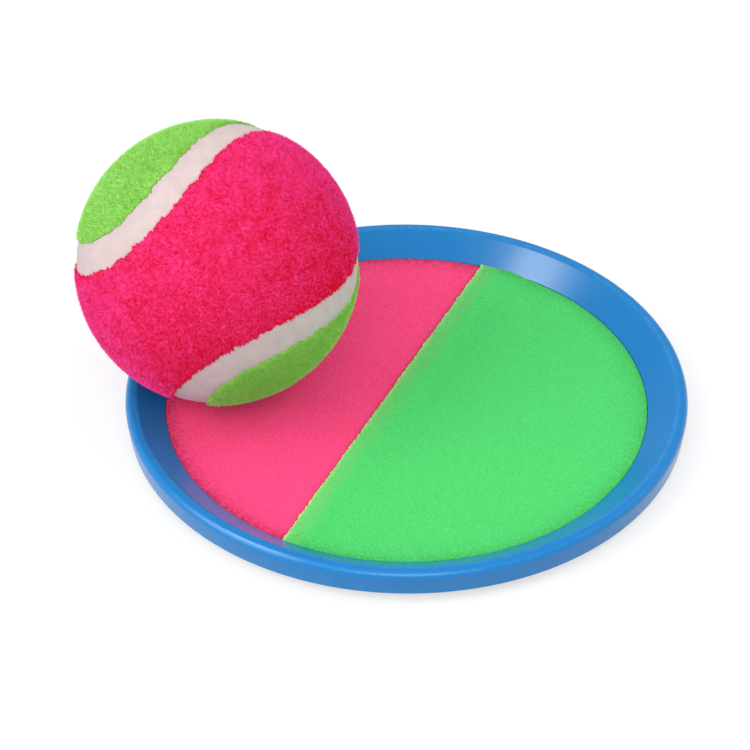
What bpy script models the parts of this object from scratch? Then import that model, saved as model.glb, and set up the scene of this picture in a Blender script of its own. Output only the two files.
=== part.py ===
"""Catch paddle set: a round moulded paddle faced with two-colour cloth, and a plush ball.

The paddle lies face up on the ring under its floor. The ball lies stuck on the cloth, leaning
out over the rim. Lengths are in metres, +Z is up, and the foot ring stands on Z = 0.
"""

import math

import bmesh
import bpy
from mathutils import Euler, Matrix, Vector

MM = 0.001

# Clearance between pieces that touch, are glued or are sewn together
GAP = 0.3 * MM

# Paddle moulding
RIM_DIAMETER = 180.0 * MM
LIP_WIDTH = 3.5 * MM
LIP_ROUND = 0.9 * MM
LIP_BAND = 2.2 * MM
WALL_RUN = 9.1 * MM
DISH_DEPTH = 6.1 * MM
WALL_THICKNESS = 1.5 * MM
FLOOR_THICKNESS = 1.8 * MM
SKIRT_STEP = 0.3 * MM
SKIRT_DRAFT = 0.8 * MM
CHANNEL_WIDTH = 0.8 * MM
FOOT_WIDTH = 2.4 * MM
FOOT_INSET = 0.8 * MM
EDGE_ROUND = 0.4 * MM
FILLET_SHARE = 0.4

# Cloth on the face: the green half is sewn over the pink half's edge
CLOTH_THICKNESS = 0.6 * MM
SEAM_OFFSET = 6.6 * MM
SEAM_TURN = math.radians(-24.6)
LAP_WIDTH = 7.0 * MM
LAP_RAMP = 2.5 * MM

# Hand strap under the floor: two tapes that overlap, each held by one rivet
STRAP_WIDTH = 25.0 * MM
STRAP_THICKNESS = 1.1 * MM
STRAP_OVERLAP = 44.0 * MM
STRAP_RAMP = 6.0 * MM
STRAP_CORNER = 4.0 * MM
STRAP_FOOT_GAP = 4.8 * MM
RIVET_MARGIN = 3.5 * MM
RIVET_SHANK = 4.0 * MM
RIVET_HEAD_FLANGE = 2.5 * MM
RIVET_HEAD_HEIGHT = 0.6 * MM
RIVET_CAP_FLANGE = 1.5 * MM
RIVET_CAP_HEIGHT = 0.5 * MM
RIVET_ROUND = 0.15 * MM
RIVET_HOLE_CLEARANCE = 0.3 * MM

# Ball: a light core under two pile panels, with a white strip along their seam
BALL_DIAMETER = 90.4 * MM
PILE_THICKNESS = 1.6 * MM
STRIP_THICKNESS = 0.7 * MM
STRIP_WIDTH = 10.0 * MM
SEAM_ROUNDNESS = 0.786
BALL_TURN = (math.radians(8.1), math.radians(81.7), math.radians(-107.2))
BALL_BEARING = math.radians(166.9)
BALL_RIM_GAP = 1.2 * MM

# Fineness of round shapes
MERGE = 0.001 * MM
SHARP = math.radians(35)
TURN_STEPS = 108
RIVET_STEPS = 24
FILLET_FACET = 0.3 * MM
CORNER_STEPS = 5
CORE_STEPS = 40
PANEL_ROWS = 40
PANEL_COLUMNS = 10
STRIP_SECTIONS = 108
STRIP_COLUMNS = 3

# Heights, from the table up
STRAP_LOW = GAP
STRAP_HIGH = STRAP_LOW + max(STRAP_THICKNESS, RIVET_HEAD_HEIGHT) + GAP
FLOOR_UNDERSIDE = STRAP_HIGH + STRAP_THICKNESS + GAP
FLOOR_TOP = FLOOR_UNDERSIDE + FLOOR_THICKNESS
CLOTH_BOTTOM = FLOOR_TOP + GAP
CLOTH_TOP = CLOTH_BOTTOM + CLOTH_THICKNESS
LIP_TOP = CLOTH_TOP + DISH_DEPTH
SKIRT_BOTTOM = FLOOR_UNDERSIDE + SKIRT_STEP

# Radii, from the rim in
RIM_RADIUS = RIM_DIAMETER / 2
LIP_INNER_RADIUS = RIM_RADIUS - LIP_WIDTH
FACE_RADIUS = LIP_INNER_RADIUS - WALL_RUN
CLOTH_RADIUS = FACE_RADIUS - GAP
HEAD_RADIUS = RIVET_SHANK / 2 + RIVET_HEAD_FLANGE
CAP_RADIUS = RIVET_SHANK / 2 + RIVET_CAP_FLANGE
BALL_RADIUS = BALL_DIAMETER / 2
BALL_BODY_RADIUS = BALL_RADIUS - PILE_THICKNESS
STRIP_RADIUS = BALL_BODY_RADIUS + STRIP_THICKNESS
CORE_RADIUS = BALL_BODY_RADIUS - GAP

# Colours as seen, in 8-bit sRGB, with roughness and metallic value
BLUE_PLASTIC = ("blue_plastic", (44, 124, 188), 0.34, 0.0)
PINK_CLOTH = ("pink_cloth", (250, 60, 124), 0.92, 0.0)
GREEN_CLOTH = ("green_cloth", (80, 210, 110), 0.92, 0.0)
WHITE_FELT = ("white_felt", (226, 212, 212), 0.95, 0.0)
PINK_PILE = ("pink_pile", (248, 38, 104), 0.97, 0.0)
GREEN_PILE = ("green_pile", (116, 204, 76), 0.97, 0.0)
CORE_FOAM = ("core_foam", (205, 200, 190), 0.85, 0.0)
HOOK_TAPE = ("hook_tape", (34, 36, 40), 0.7, 0.0)
LOOP_TAPE = ("loop_tape", (42, 44, 50), 0.95, 0.0)
RIVET_STEEL = ("rivet_steel", (178, 180, 184), 0.3, 1.0)


def clear_scene():
    """Removes every object that the new file starts with."""
    for found in list(bpy.data.objects):
        bpy.data.objects.remove(found, do_unlink=True)


def linear(channel):
    """Turns one 8-bit sRGB channel into a linear value."""
    share = channel / 255
    return share / 12.92 if share <= 0.04045 else ((share + 0.055) / 1.055) ** 2.4


def material(finish):
    """Makes the Principled material that one finish describes."""
    name, colour, roughness, metallic = finish
    made = bpy.data.materials.new(name)
    made.use_nodes = True
    shader = made.node_tree.nodes["Principled BSDF"]
    shader.inputs["Base Color"].default_value = (*map(linear, colour), 1.0)
    shader.inputs["Roughness"].default_value = roughness
    shader.inputs["Metallic"].default_value = metallic
    made.diffuse_color = (*map(linear, colour), 1.0)
    return made


def holder(name, location=(0, 0, 0), turn=(0, 0, 0), parent=None):
    """Adds an empty that carries other objects."""
    empty = bpy.data.objects.new(name, None)
    bpy.context.collection.objects.link(empty)
    empty.parent = parent
    empty.location = location
    empty.rotation_euler = turn
    return empty


def solid(name, bm, finish=None, parent=None):
    """Links a bmesh to the scene as one object with outward faces and smooth rounds."""
    bmesh.ops.recalc_face_normals(bm, faces=bm.faces)
    mesh = bpy.data.meshes.new(name)
    bm.to_mesh(mesh)
    bm.free()
    mesh.shade_smooth()
    mesh.set_sharp_from_angle(angle=SHARP)
    made = bpy.data.objects.new(name, mesh)
    bpy.context.collection.objects.link(made)
    made.parent = parent
    if finish is not None:
        mesh.materials.append(material(finish))
    return made


def cut(target, tool, operation):
    """Adds an exact Boolean to a target and hides its tool."""
    tool.hide_render = True
    tool.display_type = "WIRE"
    step = target.modifiers.new(tool.name, "BOOLEAN")
    step.operation = operation
    step.solver = "EXACT"
    step.object = tool


def rounded(corners):
    """Turns corners, each (across, up, fillet radius), into the points of an outline."""
    points = []
    for number, (across, up, radius) in enumerate(corners):
        here = Vector((across, up))
        if radius == 0:
            points.append(here)
            continue
        before = (Vector(corners[number - 1][:2]) - here).normalized()
        after = (Vector(corners[(number + 1) % len(corners)][:2]) - here).normalized()
        half = before.angle(after) / 2
        centre = here + (before + after).normalized() * radius / math.sin(half)
        start = here + before * radius / math.tan(half) - centre
        sweep = start.angle_signed(here + after * radius / math.tan(half) - centre)
        steps = math.ceil(radius / FILLET_FACET)
        for step in range(steps + 1):
            turn = Matrix.Rotation(-sweep * step / steps, 2)
            points.append(centre + turn @ start)
    return points


def turned(outline, steps):
    """Spins a closed outline of (radius, height) about the Z axis."""
    bm = bmesh.new()
    ring = [bm.verts.new((radius, 0, height)) for radius, height in outline]
    edges = [bm.edges.new(pair) for pair in zip(ring, ring[1:] + ring[:1])]
    bmesh.ops.spin(bm, geom=ring + edges, cent=(0, 0, 0), axis=(0, 0, 1), steps=steps,
                   angle=math.tau, use_merge=True)
    bmesh.ops.remove_doubles(bm, verts=bm.verts, dist=MERGE)
    bmesh.ops.dissolve_degenerate(bm, edges=bm.edges, dist=MERGE)
    axis_edges = [edge for edge in bm.edges if not edge.link_faces]
    bmesh.ops.delete(bm, geom=axis_edges, context="EDGES")
    return bm


def prism(outline, width):
    """Extrudes a closed outline of (across, height) evenly to both sides along Y."""
    bm = bmesh.new()
    face = bm.faces.new([bm.verts.new((across, -width / 2, up)) for across, up in outline])
    pushed = bmesh.ops.extrude_face_region(bm, geom=[face])
    moved = [item for item in pushed["geom"] if isinstance(item, bmesh.types.BMVert)]
    bmesh.ops.translate(bm, verts=moved, vec=(0, width, 0))
    return bm


def drum(name, radius, low, high, steps, parent, place=(0, 0, 0)):
    """Adds a plain cylinder between two heights, for use as a Boolean tool."""
    bm = bmesh.new()
    raised = Matrix.Translation((0, 0, (low + high) / 2))
    bmesh.ops.create_cone(bm, cap_ends=True, segments=steps, radius1=radius, radius2=radius,
                          depth=high - low, matrix=raised)
    made = solid(name, bm, parent=parent)
    made.location = place
    return made


def limited(radius, *walls):
    """A fillet's radius, held to a share of the thinnest wall that it rounds."""
    return min(radius, FILLET_SHARE * min(walls))


def wall_thickness_across():
    """Thickness of the sloping wall, measured level."""
    return WALL_THICKNESS * math.hypot(WALL_RUN, DISH_DEPTH) / DISH_DEPTH


def underside_radius(height):
    """Radius of the sloping wall's outer face at a height."""
    return FACE_RADIUS + (height - CLOTH_TOP) * WALL_RUN / DISH_DEPTH + wall_thickness_across()


def channel_top():
    """Ceiling of the channel under the rim: below the lip, and where the channel is wide enough."""
    widest = RIM_RADIUS - WALL_THICKNESS - CHANNEL_WIDTH - wall_thickness_across()
    return min(LIP_TOP - WALL_THICKNESS, CLOTH_TOP + (widest - FACE_RADIUS) * DISH_DEPTH / WALL_RUN)


def foot_radii():
    """Inner and outer radius of the foot ring."""
    outer = underside_radius(FLOOR_UNDERSIDE) - FOOT_INSET
    return outer - FOOT_WIDTH, outer


def dish_outline():
    """Half section of the moulded dish, from its floor's underside round to the floor's top."""
    foot_inner, foot_outer = foot_radii()
    ceiling = channel_top()
    skirt_outer = RIM_RADIUS - SKIRT_DRAFT
    foot_round = limited(EDGE_ROUND, FOOT_WIDTH)
    skirt_round = limited(EDGE_ROUND, WALL_THICKNESS)
    lip_round = limited(LIP_ROUND, LIP_WIDTH, LIP_BAND)
    return rounded([
        (0, FLOOR_UNDERSIDE, 0),
        (foot_inner, FLOOR_UNDERSIDE, 0),
        (foot_inner, 0, foot_round),
        (foot_outer, 0, foot_round),
        (foot_outer, FLOOR_UNDERSIDE, 0),
        (underside_radius(FLOOR_UNDERSIDE), FLOOR_UNDERSIDE, 0),
        (underside_radius(ceiling), ceiling, 0),
        (RIM_RADIUS - WALL_THICKNESS, ceiling, 0),
        (skirt_outer - WALL_THICKNESS, SKIRT_BOTTOM, skirt_round),
        (skirt_outer, SKIRT_BOTTOM, skirt_round),
        (RIM_RADIUS, LIP_TOP - LIP_BAND, 0),
        (RIM_RADIUS, LIP_TOP, lip_round),
        (LIP_INNER_RADIUS, LIP_TOP, lip_round),
        (FACE_RADIUS, CLOTH_TOP, limited(EDGE_ROUND, CLOTH_THICKNESS)),
        (FACE_RADIUS, FLOOR_TOP, 0),
        (0, FLOOR_TOP, 0),
    ])


def strap_end():
    """Distance from the paddle's centre to each outer end of the strap, inside the foot ring."""
    foot_inner, _ = foot_radii()
    return math.sqrt(foot_inner**2 - (STRAP_WIDTH / 2) ** 2) - STRAP_FOOT_GAP


def rivet_places():
    """Centres of the two rivets, left then right."""
    reach = strap_end() - RIVET_MARGIN - HEAD_RADIUS
    return {"left": (-reach, 0, 0), "right": (reach, 0, 0)}


def build_dish(parent):
    """Moulded dish with its rim, foot ring and the two holes for the strap's rivets."""
    dish = solid("paddle_dish", turned(dish_outline(), TURN_STEPS), BLUE_PLASTIC, parent)
    hole_radius = RIVET_SHANK / 2 + RIVET_HOLE_CLEARANCE
    seat_radius = CAP_RADIUS + RIVET_HOLE_CLEARANCE
    seat = FLOOR_TOP - RIVET_CAP_HEIGHT - GAP
    for side, place in rivet_places().items():
        hole = drum(f"hole_{side}", hole_radius, 0, LIP_TOP, RIVET_STEPS, parent, place)
        cut(dish, hole, "DIFFERENCE")
        sink = drum(f"sink_{side}", seat_radius, seat, LIP_TOP, RIVET_STEPS, parent, place)
        cut(dish, sink, "DIFFERENCE")


def build_cloth_half(name, outline, finish, parent):
    """One half of the face cloth: its section drawn out along the seam, cut to the round face."""
    half = solid(name, prism(rounded(outline), 2 * RIM_RADIUS), finish, parent)
    half.rotation_euler.z = SEAM_TURN
    shears = drum(f"{name}_shears", CLOTH_RADIUS, 0, LIP_TOP, TURN_STEPS, parent)
    cut(half, shears, "INTERSECT")


def build_face_cloth(parent):
    """Pink half with a tongue along the seam, and green half lapped over that tongue."""
    edge = -SEAM_OFFSET
    tongue = edge + LAP_WIDTH
    build_cloth_half("face_cloth_pink", [
        (-RIM_RADIUS, CLOTH_BOTTOM, 0),
        (tongue, CLOTH_BOTTOM, 0),
        (tongue, CLOTH_TOP, 0),
        (-RIM_RADIUS, CLOTH_TOP, 0),
    ], PINK_CLOTH, parent)
    raised_bottom = CLOTH_TOP + GAP
    raised_top = raised_bottom + CLOTH_THICKNESS
    ramp = tongue + GAP
    build_cloth_half("face_cloth_green", [
        (edge, raised_bottom, 0),
        (ramp, raised_bottom, 0),
        (ramp + LAP_RAMP, CLOTH_BOTTOM, 0),
        (RIM_RADIUS, CLOTH_BOTTOM, 0),
        (RIM_RADIUS, CLOTH_TOP, 0),
        (ramp + LAP_RAMP, CLOTH_TOP, 0),
        (ramp, raised_top, 0),
        (edge, raised_top, 0),
    ], GREEN_CLOTH, parent)


def build_strap_half(name, outline, tip, finish, place, parent):
    """One tape of the hand strap, with rounded tip corners and a hole for its rivet."""
    bm = prism([Vector(point) for point in outline], STRAP_WIDTH)
    upright = [edge for edge in bm.edges
               if all(abs(vert.co.x - tip) < MERGE for vert in edge.verts)
               and abs(edge.verts[0].co.y - edge.verts[1].co.y) < MERGE]
    bmesh.ops.bevel(bm, geom=upright, offset=STRAP_CORNER, segments=CORNER_STEPS,
                    profile=0.5, affect="EDGES")
    half = solid(name, bm, finish, parent)
    hole_radius = RIVET_SHANK / 2 + RIVET_HOLE_CLEARANCE
    hole = drum(f"{name}_hole", hole_radius, 0, LIP_TOP, RIVET_STEPS, parent, place)
    cut(half, hole, "DIFFERENCE")


def build_strap(parent):
    """Hook tape riveted on the right, and loop tape riveted on the left that passes under it."""
    places = rivet_places()
    end = strap_end()
    tip = STRAP_OVERLAP / 2
    high = (STRAP_HIGH, STRAP_HIGH + STRAP_THICKNESS)
    low = (STRAP_LOW, STRAP_LOW + STRAP_THICKNESS)
    build_strap_half("strap_hook_half", [
        (-tip, high[0]),
        (end, high[0]),
        (end, high[1]),
        (-tip, high[1]),
    ], -tip, HOOK_TAPE, places["right"], parent)
    down = -tip - GAP
    build_strap_half("strap_loop_half", [
        (-end, high[0]),
        (down - STRAP_RAMP, high[0]),
        (down, low[0]),
        (tip, low[0]),
        (tip, low[1]),
        (down, low[1]),
        (down - STRAP_RAMP, high[1]),
        (-end, high[1]),
    ], tip, LOOP_TAPE, places["left"], parent)


def build_rivets(parent):
    """Rivets that hold the strap's ends to the floor, each with a head below and a cap above."""
    head_top = STRAP_HIGH - GAP
    head_bottom = head_top - RIVET_HEAD_HEIGHT
    cap_bottom = FLOOR_TOP - RIVET_CAP_HEIGHT
    edge = limited(RIVET_ROUND, RIVET_HEAD_HEIGHT, RIVET_CAP_HEIGHT)
    outline = rounded([
        (0, head_bottom, 0),
        (HEAD_RADIUS, head_bottom, edge),
        (HEAD_RADIUS, head_top, edge),
        (RIVET_SHANK / 2, head_top, 0),
        (RIVET_SHANK / 2, cap_bottom, 0),
        (CAP_RADIUS, cap_bottom, edge),
        (CAP_RADIUS, FLOOR_TOP, edge),
        (0, FLOOR_TOP, 0),
    ])
    for side, place in rivet_places().items():
        rivet = solid(f"strap_rivet_{side}", turned(outline, RIVET_STEPS), RIVET_STEEL, parent)
        rivet.location = place


def seam_point(turn, offset):
    """Point of the ball's seam on the unit sphere, moved across the seam by an angle."""
    first, third = SEAM_ROUNDNESS, 1 - SEAM_ROUNDNESS
    rise = 2 * math.sqrt(first * third)
    point = Vector((first * math.cos(turn) + third * math.cos(3 * turn),
                    first * math.sin(turn) - third * math.sin(3 * turn),
                    rise * math.sin(2 * turn)))
    along = Vector((-first * math.sin(turn) - 3 * third * math.sin(3 * turn),
                    first * math.cos(turn) - 3 * third * math.cos(3 * turn),
                    2 * rise * math.cos(2 * turn)))
    across = along.cross(point).normalized()
    return point * math.cos(offset) - across * math.sin(offset)


def panel_grid():
    """Unit vectors over one pile panel: rows between two poles, each row across the panel."""
    border = (STRIP_WIDTH / 2 + GAP) / BALL_BODY_RADIUS
    first, last = -math.pi / 4, 3 * math.pi / 4
    rows = []
    for number in range(1, PANEL_ROWS):
        turn = first + (last - first) * number / PANEL_ROWS
        left, right = seam_point(turn, border), seam_point(1.5 * math.pi - turn, border)
        rows.append([left.slerp(right, column / PANEL_COLUMNS)
                     for column in range(PANEL_COLUMNS + 1)])
    return seam_point(first, border), rows, seam_point(last, border)


def skin(bm, start, rows, end, radius):
    """Covers a panel's grid with faces at one radius and returns its border, in order."""
    first = bm.verts.new(start * radius)
    grid = [[bm.verts.new(point * radius) for point in row] for row in rows]
    last = bm.verts.new(end * radius)
    for low, high in zip([[first] * len(rows[0])] + grid, grid + [[last] * len(rows[0])]):
        for a, b, c, d in zip(low, low[1:], high[1:], high):
            bm.faces.new(list(dict.fromkeys((a, b, c, d))))
    return [first] + [row[0] for row in grid] + [last] + [row[-1] for row in reversed(grid)]


def pile_panel(flip):
    """One dumbbell-shaped pile panel as a thick skin; flip gives the one for the other half."""
    bm = bmesh.new()
    start, rows, end = panel_grid()
    outer = skin(bm, start, rows, end, BALL_RADIUS)
    inner = skin(bm, start, rows, end, BALL_BODY_RADIUS)
    for here in range(len(outer)):
        bm.faces.new((outer[here - 1], outer[here], inner[here], inner[here - 1]))
    if flip:
        bmesh.ops.rotate(bm, verts=bm.verts, matrix=Matrix.Rotation(math.pi, 3, "X"))
    return bm


def seam_strip():
    """White strip: a flat band swept along the whole seam."""
    bm = bmesh.new()
    half = STRIP_WIDTH / 2 / BALL_BODY_RADIUS
    offsets = [half * (2 * column / STRIP_COLUMNS - 1) for column in range(STRIP_COLUMNS + 1)]
    section = [(offset, STRIP_RADIUS) for offset in offsets]
    section += [(offset, BALL_BODY_RADIUS) for offset in reversed(offsets)]
    rings = []
    for number in range(STRIP_SECTIONS):
        turn = math.tau * number / STRIP_SECTIONS
        rings.append([bm.verts.new(seam_point(turn, offset) * radius)
                      for offset, radius in section])
    for number, ring in enumerate(rings):
        last = rings[number - 1]
        for here in range(len(section)):
            bm.faces.new((last[here - 1], last[here], ring[here], ring[here - 1]))
    return bm


def lowest_pile():
    """How far the pile reaches below the ball's centre, as the ball lies."""
    attitude = Euler(BALL_TURN).to_matrix()
    start, rows, end = panel_grid()
    points = [start, end] + [point for row in rows for point in row]
    other = Matrix.Rotation(math.pi, 3, "X")
    heights = [(attitude @ point).z for point in points]
    heights += [(attitude @ other @ point).z for point in points]
    return -min(heights) * BALL_RADIUS


def ball_centre():
    """Where the ball's centre lies: down on the cloth, and just clear of the rim."""
    height = CLOTH_TOP + GAP + lowest_pile()
    reach = BALL_RADIUS + BALL_RIM_GAP
    distance = LIP_INNER_RADIUS - math.sqrt(reach**2 - (height - LIP_TOP) ** 2)
    return Vector((distance * math.cos(BALL_BEARING), distance * math.sin(BALL_BEARING), height))


def build_ball(parent):
    """Core, two pile panels and the strip between them."""
    ball = holder("ball_frame", ball_centre(), BALL_TURN, parent)
    bm = bmesh.new()
    bmesh.ops.create_uvsphere(bm, u_segments=CORE_STEPS, v_segments=CORE_STEPS // 2,
                              radius=CORE_RADIUS)
    solid("ball_core", bm, CORE_FOAM, ball)
    solid("ball_pile_pink", pile_panel(flip=False), PINK_PILE, ball)
    solid("ball_pile_green", pile_panel(flip=True), GREEN_PILE, ball)
    solid("ball_seam_strip", seam_strip(), WHITE_FELT, ball)


def set_centre():
    """Middle of the whole set in plan, seen from the paddle's own centre."""
    ball = ball_centre()
    low = Vector((min(-RIM_RADIUS, ball.x - BALL_RADIUS), min(-RIM_RADIUS, ball.y - BALL_RADIUS)))
    high = Vector((max(RIM_RADIUS, ball.x + BALL_RADIUS), max(RIM_RADIUS, ball.y + BALL_RADIUS)))
    return (low + high) / 2


def main():
    """Builds the whole set, with its plan centred on the origin."""
    clear_scene()
    centre = set_centre()
    paddle = holder("paddle_frame", (-centre.x, -centre.y, 0))
    build_dish(paddle)
    build_face_cloth(paddle)
    build_strap(paddle)
    build_rivets(paddle)
    build_ball(paddle)


main()
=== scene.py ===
"""Looks of the catch paddle set: a moulded paddle faced with two-colour loop cloth, and a plush ball.

Lengths are in metres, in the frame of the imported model: +Z is up and the foot ring stands on Z = 0.
"""

import logging
import math
from collections.abc import Sequence
from dataclasses import dataclass
from enum import Enum
from typing import Any

import bmesh
import bpy
from mathutils import Euler, Matrix, Vector, noise


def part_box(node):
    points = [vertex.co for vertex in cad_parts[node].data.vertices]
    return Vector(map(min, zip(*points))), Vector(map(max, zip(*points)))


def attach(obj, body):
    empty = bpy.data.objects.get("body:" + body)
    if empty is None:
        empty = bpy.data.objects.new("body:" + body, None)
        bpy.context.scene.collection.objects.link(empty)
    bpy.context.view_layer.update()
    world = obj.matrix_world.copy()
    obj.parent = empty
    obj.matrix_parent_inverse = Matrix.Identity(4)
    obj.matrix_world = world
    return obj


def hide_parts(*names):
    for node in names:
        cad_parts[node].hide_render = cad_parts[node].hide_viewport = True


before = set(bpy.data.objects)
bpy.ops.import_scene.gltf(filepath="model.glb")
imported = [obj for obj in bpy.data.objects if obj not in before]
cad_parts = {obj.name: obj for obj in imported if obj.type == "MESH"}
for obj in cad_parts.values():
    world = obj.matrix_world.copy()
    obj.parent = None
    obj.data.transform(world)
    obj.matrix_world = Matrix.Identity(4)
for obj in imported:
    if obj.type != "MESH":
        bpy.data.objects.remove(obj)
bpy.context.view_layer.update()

LOG = logging.getLogger("catch_paddle_set")
BODY = "root"

MM = 0.001
GAP = 0.3 * MM
AXIS_REACH = 0.001 * MM
SHARP_ANGLE = math.radians(32)
HOLD_DISTANCE = 0.15 * MM
HOLD_FROM = 0.8 * MM
LAP_TURN = math.radians(24.6)
WHITE = (1.0, 1.0, 1.0, 1.0)
NOISE_MEAN = (0.5, 0.5, 0.5)

Colour = tuple[int, int, int]
Span = tuple[float, float]
Ramp = tuple[float, float, float, float]
Socket = bpy.types.NodeSocket
Surface = tuple[Socket, Socket, Socket, float]


class Slot(Enum):
    """Material slots of the record."""

    BLUE_PLASTIC = "blue_plastic"
    PINK_CLOTH = "pink_cloth"
    GREEN_CLOTH = "green_cloth"
    HOOK_TAPE = "hook_tape"
    LOOP_TAPE = "loop_tape"
    RIVET_STEEL = "rivet_steel"
    PINK_PILE = "pink_pile"
    GREEN_PILE = "green_pile"
    WHITE_FELT = "white_felt"


class Half(Enum):
    """The two colours that both the face cloth and the ball's cover are cut in."""

    PINK = "pink"
    GREEN = "green"


class Side(Enum):
    """Ends of the hand strap, as signs along X."""

    LEFT = -1
    RIGHT = 1


KINDS = {Side.LEFT: "loop", Side.RIGHT: "hook"}


def linear(colour: Colour) -> tuple[float, float, float, float]:
    """Turns an 8-bit sRGB colour into a linear one with full alpha.

    Args:
        colour: Red, green and blue from 0 to 255.

    Returns:
        The linear colour.
    """
    shares = [channel / 255 for channel in colour]
    return (*(s / 12.92 if s <= 0.04045 else ((s + 0.055) / 1.055) ** 2.4 for s in shares), 1.0)


def node_centre(node: str) -> Vector:
    """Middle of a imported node's box."""
    low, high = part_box(node)
    return (low + high) / 2


def eased(share: float) -> float:
    """Smooth step from 0 to 1 for a share, held at both ends."""
    held = min(1.0, max(0.0, share))
    return held * held * (3 - 2 * held)


class Graph:
    """Adds nodes to one node tree and joins them."""

    def __init__(self, tree: bpy.types.NodeTree) -> None:
        """Keeps the tree that nodes are added to."""
        self.tree = tree

    def add(self, kind: str, inputs: dict[Any, Any] | None = None, **settings: Any) -> bpy.types.Node:
        """Adds one node.

        Args:
            kind: The node's type name.
            inputs: Values or sockets for its inputs, by name or number.
            settings: The node's own properties.

        Returns:
            The new node.
        """
        made = self.tree.nodes.new(kind)
        for name, value in settings.items():
            setattr(made, name, value)
        for key, value in (inputs or {}).items():
            if isinstance(value, Socket):
                self.feed(value, made.inputs[key])
            else:
                made.inputs[key].default_value = value
        return made

    def feed(self, source: Socket, target: Socket) -> None:
        """Joins an output to an input."""
        self.tree.links.new(source, target)

    def math(self, operation: str, first: Any, second: Any = 0.0) -> Socket:
        """Result of a Math node on two values or sockets."""
        return self.add("ShaderNodeMath", {0: first, 1: second}, operation=operation).outputs[0]

    def plus(self, first: Any, second: Any) -> Socket:
        """Sum of two values or sockets."""
        return self.math("ADD", first, second)

    def times(self, first: Any, second: Any) -> Socket:
        """Product of two values or sockets."""
        return self.math("MULTIPLY", first, second)

    def vector(self, operation: str, first: Any, second: Any = (0, 0, 0)) -> Socket:
        """Vector that a Vector Math node gives for two vectors."""
        return self.add("ShaderNodeVectorMath", {0: first, 1: second}, operation=operation).outputs[0]

    def measure(self, operation: str, first: Any, second: Any = (0, 0, 0)) -> Socket:
        """Number that a Vector Math node gives for one or two vectors."""
        return self.add("ShaderNodeVectorMath", {0: first, 1: second},
                        operation=operation).outputs["Value"]

    def scaled(self, vector: Any, factor: Any) -> Socket:
        """A vector times a factor."""
        return self.add("ShaderNodeVectorMath", {0: vector, "Scale": factor},
                        operation="SCALE").outputs[0]

    def remap(self, value: Any, start: float, stop: float, low: Any = 0.0, high: Any = 1.0) -> Socket:
        """Moves a value from one range to another, held at both ends."""
        return self.add("ShaderNodeMapRange", {0: value, 1: start, 2: stop, 3: low, 4: high}).outputs[0]

    def between(self, mask: Any, span: Span) -> Socket:
        """Number that goes over a span as a mask goes from 0 to 1."""
        return self.remap(mask, 0.0, 1.0, *span)

    def blend(self, factor: Any, first: Any, second: Any) -> Socket:
        """Mixes two colours by the share of the second one."""
        return self.add("ShaderNodeMix", {0: factor, 6: first, 7: second},
                        data_type="RGBA").outputs[2]


def open_tree(name: str, kind: str, inputs: dict[str, tuple[str, Any]],
              outputs: dict[str, str]) -> tuple[Graph, bpy.types.Node, bpy.types.Node]:
    """Starts a node group with named sockets.

    Args:
        name: The group's name.
        kind: ShaderNodeTree or GeometryNodeTree.
        inputs: Socket type and default value by input name.
        outputs: Socket type by output name.

    Returns:
        The graph, its input node and its output node.
    """
    tree = bpy.data.node_groups.new(name, kind)
    for title, (socket_type, default) in inputs.items():
        socket = tree.interface.new_socket(title, in_out="INPUT", socket_type=socket_type)
        if default is not None:
            socket.default_value = default
    for title, socket_type in outputs.items():
        tree.interface.new_socket(title, in_out="OUTPUT", socket_type=socket_type)
    graph = Graph(tree)
    return graph, graph.add("NodeGroupInput"), graph.add("NodeGroupOutput")


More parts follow.
